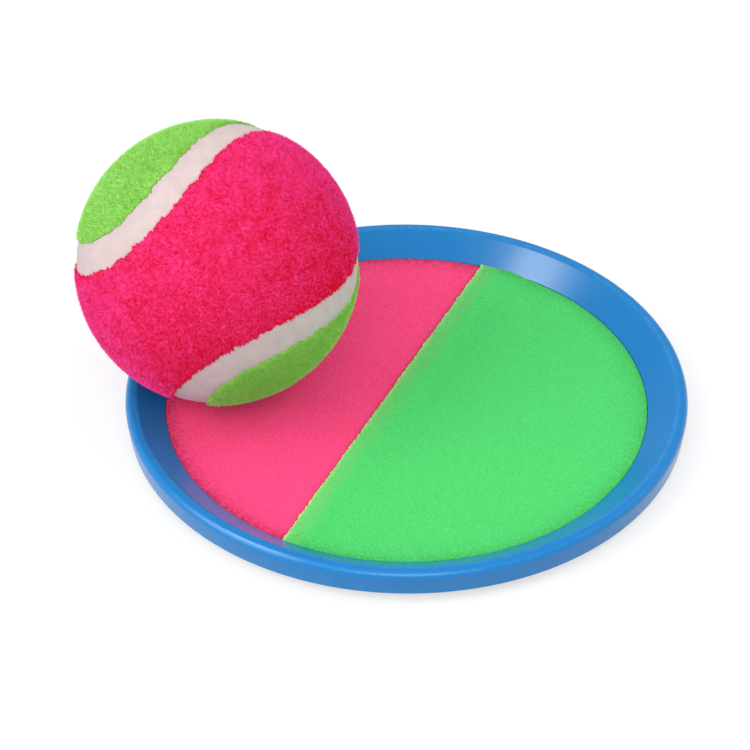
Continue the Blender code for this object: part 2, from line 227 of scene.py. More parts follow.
class SharedEffects:
    """Shader groups that several finishes use, each built once."""

    def __init__(self) -> None:
        """Builds the groups."""
        self.mottle = self.build_mottle()
        self.weave = self.build_weave()

    def build_mottle(self) -> bpy.types.NodeTree:
        """Uneven colour and height at two sizes, as in felt, pile, cloth and moulded plastic."""
        graph, given, put = open_tree("mottle", "ShaderNodeTree", {
            "Patch Size": ("NodeSocketFloat", 10 * MM),
            "Grain Size": ("NodeSocketFloat", 1 * MM),
            "Patch Share": ("NodeSocketFloat", 0.5),
        }, {"Mask": "NodeSocketFloat", "Height": "NodeSocketFloat"})
        place = graph.add("ShaderNodeTexCoord").outputs["Object"]
        patches, grain = (graph.add("ShaderNodeTexNoise", {
            "Vector": place, "Scale": graph.math("DIVIDE", 1.0, given.outputs[size]),
            "Detail": detail, "Roughness": roughness}).outputs[0]
            for size, detail, roughness in (("Patch Size", 2.0, 0.5), ("Grain Size", 3.0, 0.6)))
        share = given.outputs["Patch Share"]
        both = graph.plus(graph.times(patches, share),
                          graph.times(grain, graph.math("SUBTRACT", 1.0, share)))
        graph.feed(graph.remap(both, 0.3, 0.7), put.inputs["Mask"])
        graph.feed(grain, put.inputs["Height"])
        return graph.tree

    def build_weave(self) -> bpy.types.NodeTree:
        """Rows of small loops or threads laid across each other, with a little unevenness."""
        graph, given, put = open_tree("loop_rows", "ShaderNodeTree", {
            "Turn": ("NodeSocketFloat", 0.0),
            "Row Pitch": ("NodeSocketFloat", 0.5 * MM),
            "Loop Pitch": ("NodeSocketFloat", 0.6 * MM),
            "Unevenness": ("NodeSocketFloat", 0.2),
        }, {"Height": "NodeSocketFloat", "Loops": "NodeSocketFloat"})
        place = graph.add("ShaderNodeTexCoord").outputs["Object"]
        pitch = given.outputs["Row Pitch"]
        stray = graph.add("ShaderNodeTexNoise", {
            "Vector": place, "Detail": 2.0, "Scale": graph.math("DIVIDE", 0.4, pitch)}).outputs[1]
        shift = graph.scaled(graph.vector("SUBTRACT", stray, NOISE_MEAN),
                             graph.times(given.outputs["Unevenness"], pitch))
        turned = graph.add("ShaderNodeVectorRotate", {
            "Vector": graph.vector("ADD", place, shift), "Angle": given.outputs["Turn"]},
            rotation_type="Z_AXIS").outputs[0]
        parts = graph.add("ShaderNodeSeparateXYZ", {0: turned}).outputs
        waves = [graph.math("SINE", graph.times(math.tau, graph.math("DIVIDE", part, step)))
                 for part, step in ((parts[0], pitch), (parts[1], given.outputs["Loop Pitch"]))]
        height = graph.remap(graph.times(*waves), -1.0, 1.0)
        graph.feed(height, put.inputs["Height"])
        graph.feed(graph.remap(height, 0.35, 0.75), put.inputs["Loops"])
        return graph.tree


class Dresser(Graph):
    """Graph of one Principled material, closed with colour, roughness and bump."""

    def __init__(self, name: str, effects: SharedEffects) -> None:
        """Opens the material.

        Args:
            name: The material's name.
            effects: The shared shader groups.
        """
        self.material = bpy.data.materials.new(name)
        self.material.use_nodes = True
        super().__init__(self.material.node_tree)
        self.shader = self.tree.nodes["Principled BSDF"]
        self.effects = effects

    def group(self, tree: bpy.types.NodeTree, **values: Any) -> bpy.types.Node:
        """Places a shared group; the words of its input names are joined by underscores."""
        inputs = {key.replace("_", " "): value for key, value in values.items()}
        return self.add("ShaderNodeGroup", inputs, node_tree=tree)

    def mottled(self, patch: float, grain: float, share: float) -> tuple[Socket, Socket]:
        """Unevenness at two sizes.

        Args:
            patch: Size of its patches.
            grain: Size of its grain.
            share: Weight of the patches against the grain.

        Returns:
            The mask and the height, both from 0 to 1.
        """
        made = self.group(self.effects.mottle, Patch_Size=patch, Grain_Size=grain, Patch_Share=share)
        return made.outputs["Mask"], made.outputs["Height"]

    def attribute(self, name: str) -> Socket:
        """A number that the mesh carries at each point."""
        return self.add("ShaderNodeAttribute", attribute_name=name).outputs["Fac"]

    def fix(self, **values: Any) -> None:
        """Sets plain values on the shader's own sockets."""
        for key, value in values.items():
            self.shader.inputs[key.replace("_", " ")].default_value = value

    def finish(self, colour: Any, roughness: Any, height: Any, depth: float) -> bpy.types.Material:
        """Feeds the shader.

        Args:
            colour: Socket with the surface colour.
            roughness: Socket with the roughness.
            height: Socket with a height from 0 to 1.
            depth: What that height stands for, in metres.

        Returns:
            The finished material.
        """
        bump = self.add("ShaderNodeBump", {"Strength": 1.0, "Distance": depth, "Height": height})
        self.feed(colour, self.shader.inputs["Base Color"])
        self.feed(roughness, self.shader.inputs["Roughness"])
        self.feed(bump.outputs[0], self.shader.inputs["Normal"])
        return self.material


@dataclass(frozen=True)
class Finish:
    """What all finishes share: a name, and a material with a surface of its own kind."""

    name: str

    def surface(self, dresser: Dresser) -> Surface:
        """Colour, roughness, height, and the depth of that height, for an open material."""
        raise NotImplementedError

    def material(self, effects: SharedEffects) -> bpy.types.Material:
        """Builds the material with the shared shader groups."""
        dresser = Dresser(self.name, effects)
        return dresser.finish(*self.surface(dresser))


@dataclass(frozen=True)
class MouldedPlastic(Finish):
    """Satin plastic with a faint moulded grain and a few rubs along its edges."""

    colour: Colour
    rubbed: Colour
    roughness: Span = (0.18, 0.27)
    reflection: float = 0.42
    shade: Span = (0.95, 1.04)
    patch_size: float = 18 * MM
    patch_share: float = 0.7
    grain_size: float = 0.5 * MM
    grain_depth: float = 0.005 * MM
    scuff_size: float = 6 * MM
    scuff_grain: float = 1.5 * MM
    scuff_share: float = 0.5
    rub_share: float = 0.25
    rub_roughness: float = 0.4

    def surface(self, dresser: Dresser) -> Surface:
        """Plastic, shaded in patches, duller and paler where it is rubbed.

        Args:
            dresser: The open material.

        Returns:
            Colour, roughness, height and depth.
        """
        mask, height = dresser.mottled(self.patch_size, self.grain_size, self.patch_share)
        scuffs, _ = dresser.mottled(self.scuff_size, self.scuff_grain, self.scuff_share)
        worn = dresser.times(dresser.attribute("rub"), dresser.times(scuffs, self.rub_share))
        body = dresser.scaled(linear(self.colour)[:3], dresser.between(mask, self.shade))
        colour = dresser.blend(worn, body, linear(self.rubbed))
        roughness = dresser.plus(dresser.between(mask, self.roughness),
                                 dresser.times(worn, self.rub_roughness))
        dresser.fix(Specular_IOR_Level=self.reflection)
        return colour, roughness, height, self.grain_depth


@dataclass(frozen=True)
class LoopCloth(Finish):
    """Short looped cloth in fine rows, deeper in colour by its border as painted shade, and pale at a raw
    edge.
    """

    colour: Colour
    deep: Colour
    # Colour of the painted shade by the dish's wall, and on the pink half beside the green's lap.
    edge: Colour
    raw: Colour
    lap: Colour
    speck: Colour
    turn: float = LAP_TURN
    row_pitch: float = 1.15 * MM
    loop_pitch: float = 1.4 * MM
    loop_depth: float = 0.3 * MM
    loop_share: float = 0.6
    unevenness: float = 1.7
    contrast: float = 0.85
    patch_size: float = 9 * MM
    patch_share: float = 0.15
    grain_size: float = 1.0 * MM
    speck_patch: float = 7 * MM
    speck_grain: float = 1.2 * MM
    speck_share: float = 0.45
    border_ramp: Ramp = (0.25, 0.75, 0.5, 1.5)
    lap_ramp: Ramp = (0.3, 0.8, 0.2, 1.0)
    speck_ramp: Ramp = (0.7, 0.84, 0.0, 0.6)
    raw_ramp: Ramp = (0.25, 0.7, 0.3, 1.1)
    sheen: float = 0.08
    sheen_roughness: float = 0.5
    reflection: float = 0.2
    roughness: Span = (0.86, 0.96)

    def surface(self, dresser: Dresser) -> Surface:
        """Cloth, with painted shade at its border, and its lap and raw edge, as the mesh marks them.

        Args:
            dresser: The open material.

        Returns:
            Colour, roughness, height and depth.
        """
        rows = dresser.group(dresser.effects.weave, Turn=self.turn, Row_Pitch=self.row_pitch,
                             Loop_Pitch=self.loop_pitch, Unevenness=self.unevenness)
        grain, relief = dresser.mottled(self.patch_size, self.grain_size, self.patch_share)
        gaps = dresser.times(dresser.math("SUBTRACT", 1.0, rows.outputs["Loops"]), grain)
        specks, _ = dresser.mottled(self.speck_patch, self.speck_grain, self.speck_share)
        colour = dresser.blend(dresser.times(gaps, self.contrast), linear(self.colour),
                               linear(self.deep))
        # The border attribute carries painted shade by the dish's wall and beside the lap; lap, specks
        # and raw edge are the cloth's own colours.
        for name, mask, ramp, over in (("border", grain, self.border_ramp, self.edge),
                                       ("lap", grain, self.lap_ramp, self.lap),
                                       ("lap", specks, self.speck_ramp, self.speck),
                                       ("raw", grain, self.raw_ramp, self.raw)):
            share = dresser.times(dresser.attribute(name), dresser.remap(mask, *ramp))
            colour = dresser.blend(share, colour, linear(over))
        height = dresser.plus(dresser.times(rows.outputs["Height"], self.loop_share),
                              dresser.times(relief, 1 - self.loop_share))
        dresser.fix(Sheen_Weight=self.sheen, Sheen_Roughness=self.sheen_roughness,
                    Specular_IOR_Level=self.reflection)
        return colour, dresser.between(grain, self.roughness), height, self.loop_depth


@dataclass(frozen=True)
class BrushedPile(Finish):
    """Brushed pile: bright tips over deep, shaded roots, with uneven clumps."""

    tip: Colour
    root: Colour
    sheen_tint: Colour
    clump_size: float = 1.3 * MM
    clumps_in_patch: float = 4.0
    patch_share: float = 0.4
    tip_share: float = 0.5
    unevenness: Span = (-0.2, 0.22)
    lit_from: float = 0.1
    lit_to: float = 0.8
    sheen: float = 0.42
    sheen_roughness: float = 0.4
    reflection: float = 0.1
    roughness: Span = (0.9, 1.0)
    depth: float = 0.15 * MM

    def surface(self, dresser: Dresser) -> Surface:
        """Pile, lit at the tips and in the tones that its tufts carry.

        Args:
            dresser: The open material.

        Returns:
            Colour, roughness, height and depth.
        """
        mask, height = dresser.mottled(self.clumps_in_patch * self.clump_size, self.clump_size,
                                       self.patch_share)
        lit = dresser.plus(dresser.times(dresser.attribute("tip"), self.tip_share),
                           dresser.times(dresser.attribute("tone"), 1 - self.tip_share))
        lit = dresser.plus(lit, dresser.between(mask, self.unevenness))
        colour = dresser.blend(dresser.remap(lit, self.lit_from, self.lit_to), linear(self.root),
                               linear(self.tip))
        dresser.fix(Sheen_Weight=self.sheen, Sheen_Roughness=self.sheen_roughness,
                    Specular_IOR_Level=self.reflection, Sheen_Tint=linear(self.sheen_tint))
        return colour, dresser.between(mask, self.roughness), height, self.depth


@dataclass(frozen=True)
class FlatFelt(Finish):
    """Pressed felt with faint patches and a short nap."""

    colour: Colour
    shaded: Colour
    patch_size: float = 5 * MM
    patch_share: float = 0.5
    grain_size: float = 0.6 * MM
    depth: float = 0.06 * MM
    sheen: float = 0.15
    sheen_roughness: float = 0.5
    reflection: float = 0.2
    roughness: Span = (0.88, 0.97)

    def surface(self, dresser: Dresser) -> Surface:
        """Felt or other plain fibre in two close colours.

        Args:
            dresser: The open material.

        Returns:
            Colour, roughness, height and depth.
        """
        mask, height = dresser.mottled(self.patch_size, self.grain_size, self.patch_share)
        dresser.fix(Sheen_Weight=self.sheen, Sheen_Roughness=self.sheen_roughness,
                    Specular_IOR_Level=self.reflection)
        colour = dresser.blend(mask, linear(self.shaded), linear(self.colour))
        return colour, dresser.between(mask, self.roughness), height, self.depth


@dataclass(frozen=True)
class SpunThread(FlatFelt):
    """Sewing thread, finer and smoother than felt."""

    patch_size: float = 2 * MM
    grain_size: float = 0.2 * MM
    depth: float = 0.05 * MM
    sheen: float = 0.2
    reflection: float = 0.5
    roughness: Span = (0.6, 0.8)


@dataclass(frozen=True)
class WovenTape(Finish):
    """Woven nylon tape in plain weave."""

    colour: Colour
    thread: Colour
    pitch: float = 1.1 * MM
    loop_share: float = 0.7
    unevenness: float = 0.15
    patch_size: float = 12 * MM
    patch_share: float = 0.5
    grain_size: float = 0.8 * MM
    shade: Span = (0.5, 1.0)
    sheen: float = 0.2
    sheen_roughness: float = 0.4
    roughness: Span = (0.7, 0.9)
    depth: float = 0.15 * MM

    def surface(self, dresser: Dresser) -> Surface:
        """Tape, paler on the threads that lie on top.

        Args:
            dresser: The open material.

        Returns:
            Colour, roughness, height and depth.
        """
        rows = dresser.group(dresser.effects.weave, Turn=0.0, Row_Pitch=self.pitch,
                             Loop_Pitch=self.loop_share * self.pitch, Unevenness=self.unevenness)
        mask, _ = dresser.mottled(self.patch_size, self.grain_size, self.patch_share)
        tone = dresser.times(rows.outputs["Loops"], dresser.between(mask, self.shade))
        colour = dresser.blend(tone, linear(self.colour), linear(self.thread))
        dresser.fix(Sheen_Weight=self.sheen, Sheen_Roughness=self.sheen_roughness)
        return colour, dresser.between(mask, self.roughness), rows.outputs["Height"], self.depth


@dataclass(frozen=True)
class PlatedSteel(Finish):
    """Plated steel with fine handling marks."""

    colour: Colour
    patch_size: float = 3 * MM
    patch_share: float = 0.6
    grain_size: float = 0.3 * MM
    shade: Span = (0.85, 1.0)
    roughness: Span = (0.22, 0.4)
    depth: float = 0.006 * MM

    def surface(self, dresser: Dresser) -> Surface:
        """Bare metal, uneven in shade and roughness.

        Args:
            dresser: The open material.

        Returns:
            Colour, roughness, height and depth.
        """
        mask, height = dresser.mottled(self.patch_size, self.grain_size, self.patch_share)
        dresser.fix(Metallic=1.0)
        colour = dresser.scaled(linear(self.colour)[:3], dresser.between(mask, self.shade))
        return colour, dresser.between(mask, self.roughness), height, self.depth


def make_piece(name: str, bm: bmesh.types.BMesh, material: bpy.types.Material,
               place: Matrix | None = None) -> bpy.types.Object:
    """Links a bmesh as an object at the origin, with outward faces and smooth rounds.

    Args:
        name: The piece's name.
        bm: The shape, which is freed.
        material: The piece's finish.
        place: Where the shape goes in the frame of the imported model.

    Returns:
        The linked object.
    """
    if place is not None:
        bmesh.ops.transform(bm, matrix=place, verts=bm.verts)
    bmesh.ops.recalc_face_normals(bm, faces=bm.faces)
    mesh = bpy.data.meshes.new(name)
    bm.to_mesh(mesh)
    bm.free()
    mesh.shade_smooth()
    mesh.set_sharp_from_angle(angle=SHARP_ANGLE)
    mesh.materials.append(material)
    made = bpy.data.objects.new(name, mesh)
    bpy.context.collection.objects.link(made)
    return made


def settle(piece: bpy.types.Object, slot: Slot, *nodes: str) -> None:
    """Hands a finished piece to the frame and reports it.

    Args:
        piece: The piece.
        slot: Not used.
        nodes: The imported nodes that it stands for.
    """
    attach(piece, BODY)
    if nodes:
        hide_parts(*nodes)
    LOG.info("%s: %d faces, for %s", piece.name, len(piece.data.polygons), nodes or "no node")


def paint(piece: bpy.types.Object, name: str, values: Sequence[float]) -> None:
    """Stores one number for each point of a piece's mesh."""
    kept = piece.data.attributes.new(name, "FLOAT", "POINT")
    kept.data.foreach_set("value", values)


def rounded(corners: Sequence[tuple[float, float, float]], facet: float) -> list[Vector]:
    """Turns corners into the points of an outline with fillets.

    Args:
        corners: Each corner's distance across, height and fillet radius.
        facet: Length of one step along a fillet.

    Returns:
        The points, with close ones beside each fillet so that flats shade flat.
    """
    points: list[Vector] = []
    for number, (across, up, radius) in enumerate(corners):
        here = Vector((across, up))
        if radius == 0:
            points.append(here)
            continue
        before = (Vector(corners[number - 1][:2]) - here).normalized()
        after = (Vector(corners[(number + 1) % len(corners)][:2]) - here).normalized()
        half = before.angle(after) / 2
        centre = here + (before + after).normalized() * radius / math.sin(half)
        start = here + before * radius / math.tan(half) - centre
        sweep = start.angle_signed(here + after * radius / math.tan(half) - centre)
        steps = math.ceil(radius * abs(sweep) / facet)
        points += [centre + Matrix.Rotation(-sweep * step / steps, 2) @ start
                   for step in range(steps + 1)]
    held = [points[0]]
    for last, point in zip(points, points[1:]):
        span = point - last
        if span.length > HOLD_FROM:
            inwards = span.normalized() * HOLD_DISTANCE
            held += [last + inwards, point - inwards]
        held.append(point)
    return held


def lathe(outline: Sequence[Vector], steps: int) -> bmesh.types.BMesh:
    """Turns an open outline that starts and ends on the Z axis into a closed solid.

    Args:
        outline: Radius and height of each point.
        steps: Faces round the turn.

    Returns:
        The turned solid.
    """
    bm = bmesh.new()
    turns = [math.tau * step / steps for step in range(steps)]
    rings = []
    for radius, height in outline:
        if radius < AXIS_REACH:
            rings.append([bm.verts.new((0, 0, height))] * steps)
        else:
            rings.append([bm.verts.new((radius * math.cos(turn), radius * math.sin(turn), height))
                          for turn in turns])
    for low, high in zip(rings, rings[1:]):
        for step in range(steps):
            corners = list(dict.fromkeys((low[step - 1], low[step], high[step], high[step - 1])))
            if len(corners) > 2:
                bm.faces.new(corners)
    bmesh.ops.recalc_face_normals(bm, faces=bm.faces)
    return bm


def add_grid(bm: bmesh.types.BMesh,
             points: Sequence[Sequence[Vector]]) -> list[list[bmesh.types.BMVert]]:
    """Adds the vertices of a grid of points, row by row, and gives them back in rows."""
    return [[bm.verts.new(point) for point in row] for row in points]


def face_grid(bm: bmesh.types.BMesh, layer: Sequence[Sequence[bmesh.types.BMVert]]) -> None:
    """Adds the faces between the rows of a grid of vertices."""
    for row, following in zip(layer, layer[1:]):
        for corners in zip(row, row[1:], following[1:], following):
            bm.faces.new(corners)


def shell(top: Sequence[Sequence[Vector]], bottom: Sequence[Sequence[Vector]]) -> bmesh.types.BMesh:
    """Closed thin sheet between two grids of points of the same size.

    Args:
        top: Rows of points of one side.
        bottom: Rows of points of the other side.

    Returns:
        The sheet.
    """
    bm = bmesh.new()
    layers = [add_grid(bm, points) for points in (top, bottom)]
    for layer in layers:
        face_grid(bm, layer)
    loops = [rim_of(layer) for layer in layers]
    for step in range(len(loops[0])):
        bm.faces.new((loops[0][step - 1], loops[0][step], loops[1][step], loops[1][step - 1]))
    return bm


def rim_of(layer: Sequence[Sequence[Any]]) -> list[Any]:
    """The items round the rim of a grid, in order."""
    return (list(layer[0]) + [row[-1] for row in layer[1:-1]] + list(reversed(layer[-1]))
            + [row[0] for row in reversed(layer[1:-1])])


def punch(piece: bpy.types.Object, holes: Sequence[tuple[Vector, float, float, float]],
          steps: int = 48) -> None:
    """Cuts round upright holes through a piece and keeps the result in its mesh.

    Args:
        piece: The piece to cut.
        holes: Centre, radius, lowest and highest point of each hole.
        steps: Sides of each hole.
    """
    bm = bmesh.new()
    for centre, radius, low, high in holes:
        raised = Matrix.Translation((centre.x, centre.y, (low + high) / 2))
        bmesh.ops.create_cone(bm, cap_ends=True, segments=steps, radius1=radius, radius2=radius,
                              depth=high - low, matrix=raised)
    cutter = make_piece(f"{piece.name}_punch", bm, piece.data.materials[0])
    step = piece.modifiers.new("punch", "BOOLEAN")
    step.operation = "DIFFERENCE"
    step.solver = "EXACT"
    step.object = cutter
    graph = bpy.context.evaluated_depsgraph_get()
    cut = bpy.data.meshes.new_from_object(piece.evaluated_get(graph), depsgraph=graph)
    piece.modifiers.remove(step)
    bpy.data.objects.remove(cutter)
    cut.name = piece.name
    piece.data = cut
    cut.shade_smooth()
    cut.set_sharp_from_angle(angle=SHARP_ANGLE)


def grow(name: str, base: bpy.types.Object, tree: bpy.types.NodeTree,
         values: dict[str, Any]) -> bpy.types.Object:
    """Runs a Geometry Nodes tree on a base and keeps what it grows as a plain mesh.

    Args:
        name: Name of the new piece.
        base: The object that the tree reads.
        tree: The tree.
        values: Values of the tree's named inputs.

    Returns:
        The new piece.
    """
    step = base.modifiers.new(name, "NODES")
    step.node_group = tree
    for item in tree.interface.items_tree:
        if item.item_type == "SOCKET" and item.in_out == "INPUT" and item.name in values:
            step[item.identifier] = values[item.name]
    graph = bpy.context.evaluated_depsgraph_get()
    mesh = bpy.data.meshes.new_from_object(base.evaluated_get(graph), preserve_all_data_layers=True,
                                           depsgraph=graph)
    base.modifiers.remove(step)
    mesh.name = name
    made = bpy.data.objects.new(name, mesh)
    bpy.context.collection.objects.link(made)
    return made


def sew(name: str, line: bmesh.types.BMesh, place: Matrix, tree: bpy.types.NodeTree, width: float,
        overlap: float, material: bpy.types.Material) -> bpy.types.Object:
    """Lays a stitch along each edge of a line.

    Args:
        name: Name of the stitches.
        line: The edges, which are freed.
        place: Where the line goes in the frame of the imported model.
        tree: Geometry Nodes tree that lays a stitch along each edge.
        width: Width of the thread.
        overlap: Length of a stitch as a share of its edge.
        material: Finish of the thread.

    Returns:
        The stitches.
    """
    guide = make_piece(f"{name}_guide", line, material, place)
    piece = grow(name, guide, tree, {"Thread Width": width, "Overlap": overlap, "Finish": material})
    bpy.data.objects.remove(guide)
    return piece


@dataclass
class Assembly:
    """What every sub-assembly has: its centre, and the shader groups that its finishes share."""

    centre: Vector
    effects: SharedEffects


@dataclass
class MouldedDish(Assembly):
    """The paddle's moulded dish: floor, sloping wall, lip, outer skirt and foot ring."""

    rim_radius: float = 90.0 * MM
    lip_width: float = 3.5 * MM
    lip_round: float = 2.2 * MM
    lip_inner_round: float = 3.4 * MM
    lip_band: float = 2.2 * MM
    wall_run: float = 9.1 * MM
    wall_thickness: float = 1.5 * MM
    floor_underside: float = 3.1 * MM
    floor_top: float = 4.9 * MM
    cloth_top: float = 5.8 * MM
    lip_top: float = 11.9 * MM
    skirt_bottom: float = 3.4 * MM
    skirt_draft: float = 0.8 * MM
    foot_width: float = 2.4 * MM
    foot_inset: float = 0.8 * MM
    edge_round: float = 0.4 * MM
    skirt_round: float = 0.25 * MM
    face_round: float = 0.24 * MM
    hole_radius: float = 2.3 * MM
    seat_radius: float = 3.8 * MM
    seat_depth: float = 0.8 * MM
    lip_worn: float = 0.3 * MM
    lip_inner_worn: float = 0.2 * MM
    rub_reach: float = 0.7 * MM
    facet: float = 0.1 * MM
    steps: int = 288

    @property
    def face_radius(self) -> float:
        """Radius of the flat face, at the foot of the sloping wall."""
        return self.rim_radius - self.lip_width - self.wall_run

    def underside_radius(self, height: float) -> float:
        """Radius of the sloping wall's outer face.

        Args:
            height: Height of the place on the wall.

        Returns:
            The radius.
        """
        rise = self.lip_top - self.cloth_top
        across = self.wall_thickness * math.hypot(self.wall_run, rise) / rise
        return self.face_radius + (height - self.cloth_top) * self.wall_run / rise + across

    def outline(self) -> list[Vector]:
        """Half section, from the underside of the floor round to its top.

        Returns:
            The radius and height of each point.
        """
        foot_outer = self.underside_radius(self.floor_underside) - self.foot_inset
        foot_inner = foot_outer - self.foot_width
        ceiling = self.lip_top - self.wall_thickness
        skirt_outer = self.rim_radius - self.skirt_draft
        return rounded([
            (0, self.floor_underside, 0),
            (foot_inner, self.floor_underside, self.edge_round),
            (foot_inner, 0, self.edge_round),
            (foot_outer, 0, self.edge_round),
            (foot_outer, self.floor_underside, 0),
            (self.underside_radius(self.floor_underside), self.floor_underside, 0),
            (self.underside_radius(ceiling), ceiling, 0),
            (self.rim_radius - self.wall_thickness, ceiling, 0),
            (skirt_outer - self.wall_thickness, self.skirt_bottom, self.skirt_round),
            (skirt_outer, self.skirt_bottom, self.skirt_round),
            (self.rim_radius, self.lip_top - self.lip_band, 0),
            (self.rim_radius, self.lip_top, self.lip_round),
            (self.rim_radius - self.lip_width, self.lip_top, self.lip_inner_round),
            (self.face_radius, self.cloth_top, self.face_round),
            (self.face_radius, self.floor_top, 0),
            (0, self.floor_top, 0),
        ], self.facet)

    def rub(self, point: Vector) -> float:
        """How much handling a point of the dish gets, which is most along the lip's edges.

        Args:
            point: The point.

        Returns:
            The share, from 0 to 1.
        """
        radius = (point - self.centre).to_2d().length
        worn = self.lip_worn
        edges = ((self.rim_radius - worn, self.lip_top - worn),
                 (self.rim_radius - self.lip_width + worn, self.lip_top - self.lip_inner_worn),
                 (self.rim_radius - self.skirt_draft, self.skirt_bottom))
        near = min(math.hypot(radius - across, point.z - up) for across, up in edges)
        return math.exp(-((near / self.rub_reach) ** 2))

    def build(self, rivets: Sequence[Vector], finish: MouldedPlastic) -> None:
        """Builds, cuts and dresses the dish.

        Args:
            rivets: Centres of the strap's rivets.
            finish: The plastic.
        """
        dish = make_piece("dish_moulding", lathe(self.outline(), self.steps),
                          finish.material(self.effects), Matrix.Translation(self.centre))
        seat = self.floor_top - self.seat_depth
        punch(dish, [(place, self.hole_radius, 0, self.lip_top) for place in rivets])
        punch(dish, [(place, self.seat_radius, seat, self.lip_top) for place in rivets])
        paint(dish, "rub", [self.rub(vert.co) for vert in dish.data.vertices])
        settle(dish, Slot.BLUE_PLASTIC, "paddle_dish")


@dataclass
class FaceCloth(Assembly):
    """The cloth on the paddle's face: a green half sewn over the edge of a pink half."""

    radius: float = 77.25 * MM
    bottom: float = 5.2 * MM
    thickness: float = 0.6 * MM
    turn: float = -LAP_TURN
    edge: float = -6.6 * MM
    tongue: float = 0.4 * MM
    ramp_start: float = 0.7 * MM
    ramp_end: float = 3.2 * MM
    border_ramp: float = 14.0 * MM
    border_press: float = 0.45
    border_power: int = 24
    tongue_press: float = 0.35 * MM
    ragged: float = 0.4 * MM
    wave_length: float = 7 * MM
    fray_length: float = 1.1 * MM
    nick_length: float = 1.9 * MM
    nick_from: float = 0.25
    stray_weights: tuple[float, float, float] = (0.7, 0.8, 2.2)
    stray_reach: float = 0.9 * MM
    ripple_height: float = 0.03 * MM
    ripple_length: float = 6 * MM
    edge_drop: float = 0.16 * MM
    edge_reach: float = 0.14 * MM
    under_drop: float = 0.6
    wall_shade_reach: float = 3.0 * MM
    pressed_reach: float = 0.9 * MM
    lap_shade_share: float = 0.5
    raw_reach: float = 0.55 * MM
    lap_band: float = 4.6 * MM
    lap_fade: float = 1.6 * MM
    stitch_low: float = 1.3 * MM
    stitch_high: float = 4.0 * MM
    stitch_pitch: float = 1.9 * MM
    stitch_inset: float = 1.5 * MM
    stitch_overlap: float = 0.9
    thread_width: float = 0.24 * MM
    rows: int = 360
    columns: int = 64
    near_edge: tuple[float, ...] = (0, 0.05, 0.12, 0.22, 0.4, 0.65, 1.0, 1.5)
    near_ends: tuple[float, ...] = (0.997, 0.9993, 1)
    last_turn: float = math.pi / 2 - 0.012

    @property
    def top(self) -> float:
        """Height of the cloth's face away from the lap."""
        return self.bottom + self.thickness

    @property
    def place(self) -> Matrix:
        """Where the seam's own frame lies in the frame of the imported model."""
        return Matrix.Translation(self.centre) @ Matrix.Rotation(self.turn, 4, "Z")

    def lift(self, across: float, reach: float = 0.0) -> float:
        """How far the green half rises over the pink one; it comes down more slowly at the border.

        Args:
            across: Distance across the seam.
            reach: Distance from the paddle's centre, as a share of the cloth's radius.

        Returns:
            The rise.
        """
        end = self.ramp_end + self.border_ramp * reach**self.border_power
        full = (self.thickness + GAP) * (1 - self.border_press * reach**self.border_power)
        return full * eased((end - across) / (end - self.ramp_start))

    def sink(self, across: float, reach: float) -> float:
        """How far the pink half's tongue is pressed down under the lap, by the border."""
        under = eased((across - self.edge + self.pressed_reach) / self.pressed_reach)
        return self.tongue_press * under * reach**self.border_power

    def stray(self, along: float) -> float:
        """How far the raw edge strays from its line, in slow waves and short frayed nicks.

        Args:
            along: Place along the seam.

        Returns:
            The distance across the seam.
        """
        wave = noise.noise(Vector((along / self.wave_length, 3.7, 0)))
        fray = noise.noise(Vector((along / self.fray_length, 0, 8.1)))
        nick = max(0.0, noise.noise(Vector((along / self.nick_length, 5.2, 2.4))) - self.nick_from)
        waves, frays, nicks = self.stray_weights
        return self.ragged * (waves * wave + frays * fray - nicks * nick)

    def columns_from(self, edge: float, sign: int) -> list[float]:
        """Distances across the seam of the grid's columns, close together by the edge.

        Args:
            edge: Where the half's straight edge lies.
            sign: 1 for a half that goes on towards +X, -1 for the other.

        Returns:
            The distances, from the edge to the round border.
        """
        near = [sign * edge + step * MM for step in self.near_edge]
        first = math.asin(near[-1] / self.radius)
        turns = [first + (self.last_turn - first) * step / self.columns
                 for step in range(1, self.columns + 1)]
        return [sign * across for across in near + [self.radius * math.sin(t) for t in turns]]

    def half(self, colour: Half) -> tuple[list[list[Vector]], list[list[Vector]]]:
        """Top and bottom grids of one half, in the seam's own frame.

        Args:
            colour: Which half.

        Returns:
            The rows of the top and those of the bottom.
        """
        green = colour is Half.GREEN
        edge, sign = (self.edge, 1) if green else (self.tongue, -1)
        count = self.rows if green else self.rows // 2
        shares = [-share for share in reversed(self.near_ends)]
        shares += [2 * step / count - 1 for step in range(1, count)]
        shares += self.near_ends
        top, bottom = [], []
        for share in shares:
            high, low = [], []
            for across in self.columns_from(edge, sign):
                along = share * math.sqrt(max(0.0, self.radius**2 - across**2))
                inset = abs(across - edge)
                x = across
                if green:
                    x += self.stray(along) * math.exp(-inset / self.stray_reach)
                near = min(self.radius - math.hypot(across, along), inset)
                reach = math.hypot(across, along) / self.radius
                rise = self.lift(across, reach) if green else 0.0
                sunk = 0.0 if green else self.sink(across, reach)
                spread = 1.0 + rise / self.radius * reach**self.border_power
                drop = self.edge_drop * math.exp(-near / self.edge_reach)
                ripple = self.ripple_height * noise.noise(Vector((across, along, 0)) / self.ripple_length)
                height = self.top + rise + ripple - drop - sunk
                high.append(Vector((x * spread, along * spread, height)))
                low.append(Vector((x * spread, along * spread,
                                   self.bottom + rise + self.under_drop * drop)))
            top.append(high)
            bottom.append(low)
        return top, bottom

    def beyond(self, colour: Half) -> float:
        """How far one half's flat cut goes past the paddle's middle."""
        return -self.edge if colour is Half.GREEN else self.tongue

    def flat_area(self, colour: Half) -> float:
        """Area of one half's flat cut."""
        extra = self.beyond(colour)
        return (math.pi * self.radius**2 / 2 + extra * math.sqrt(self.radius**2 - extra**2)
                + self.radius**2 * math.asin(extra / self.radius))

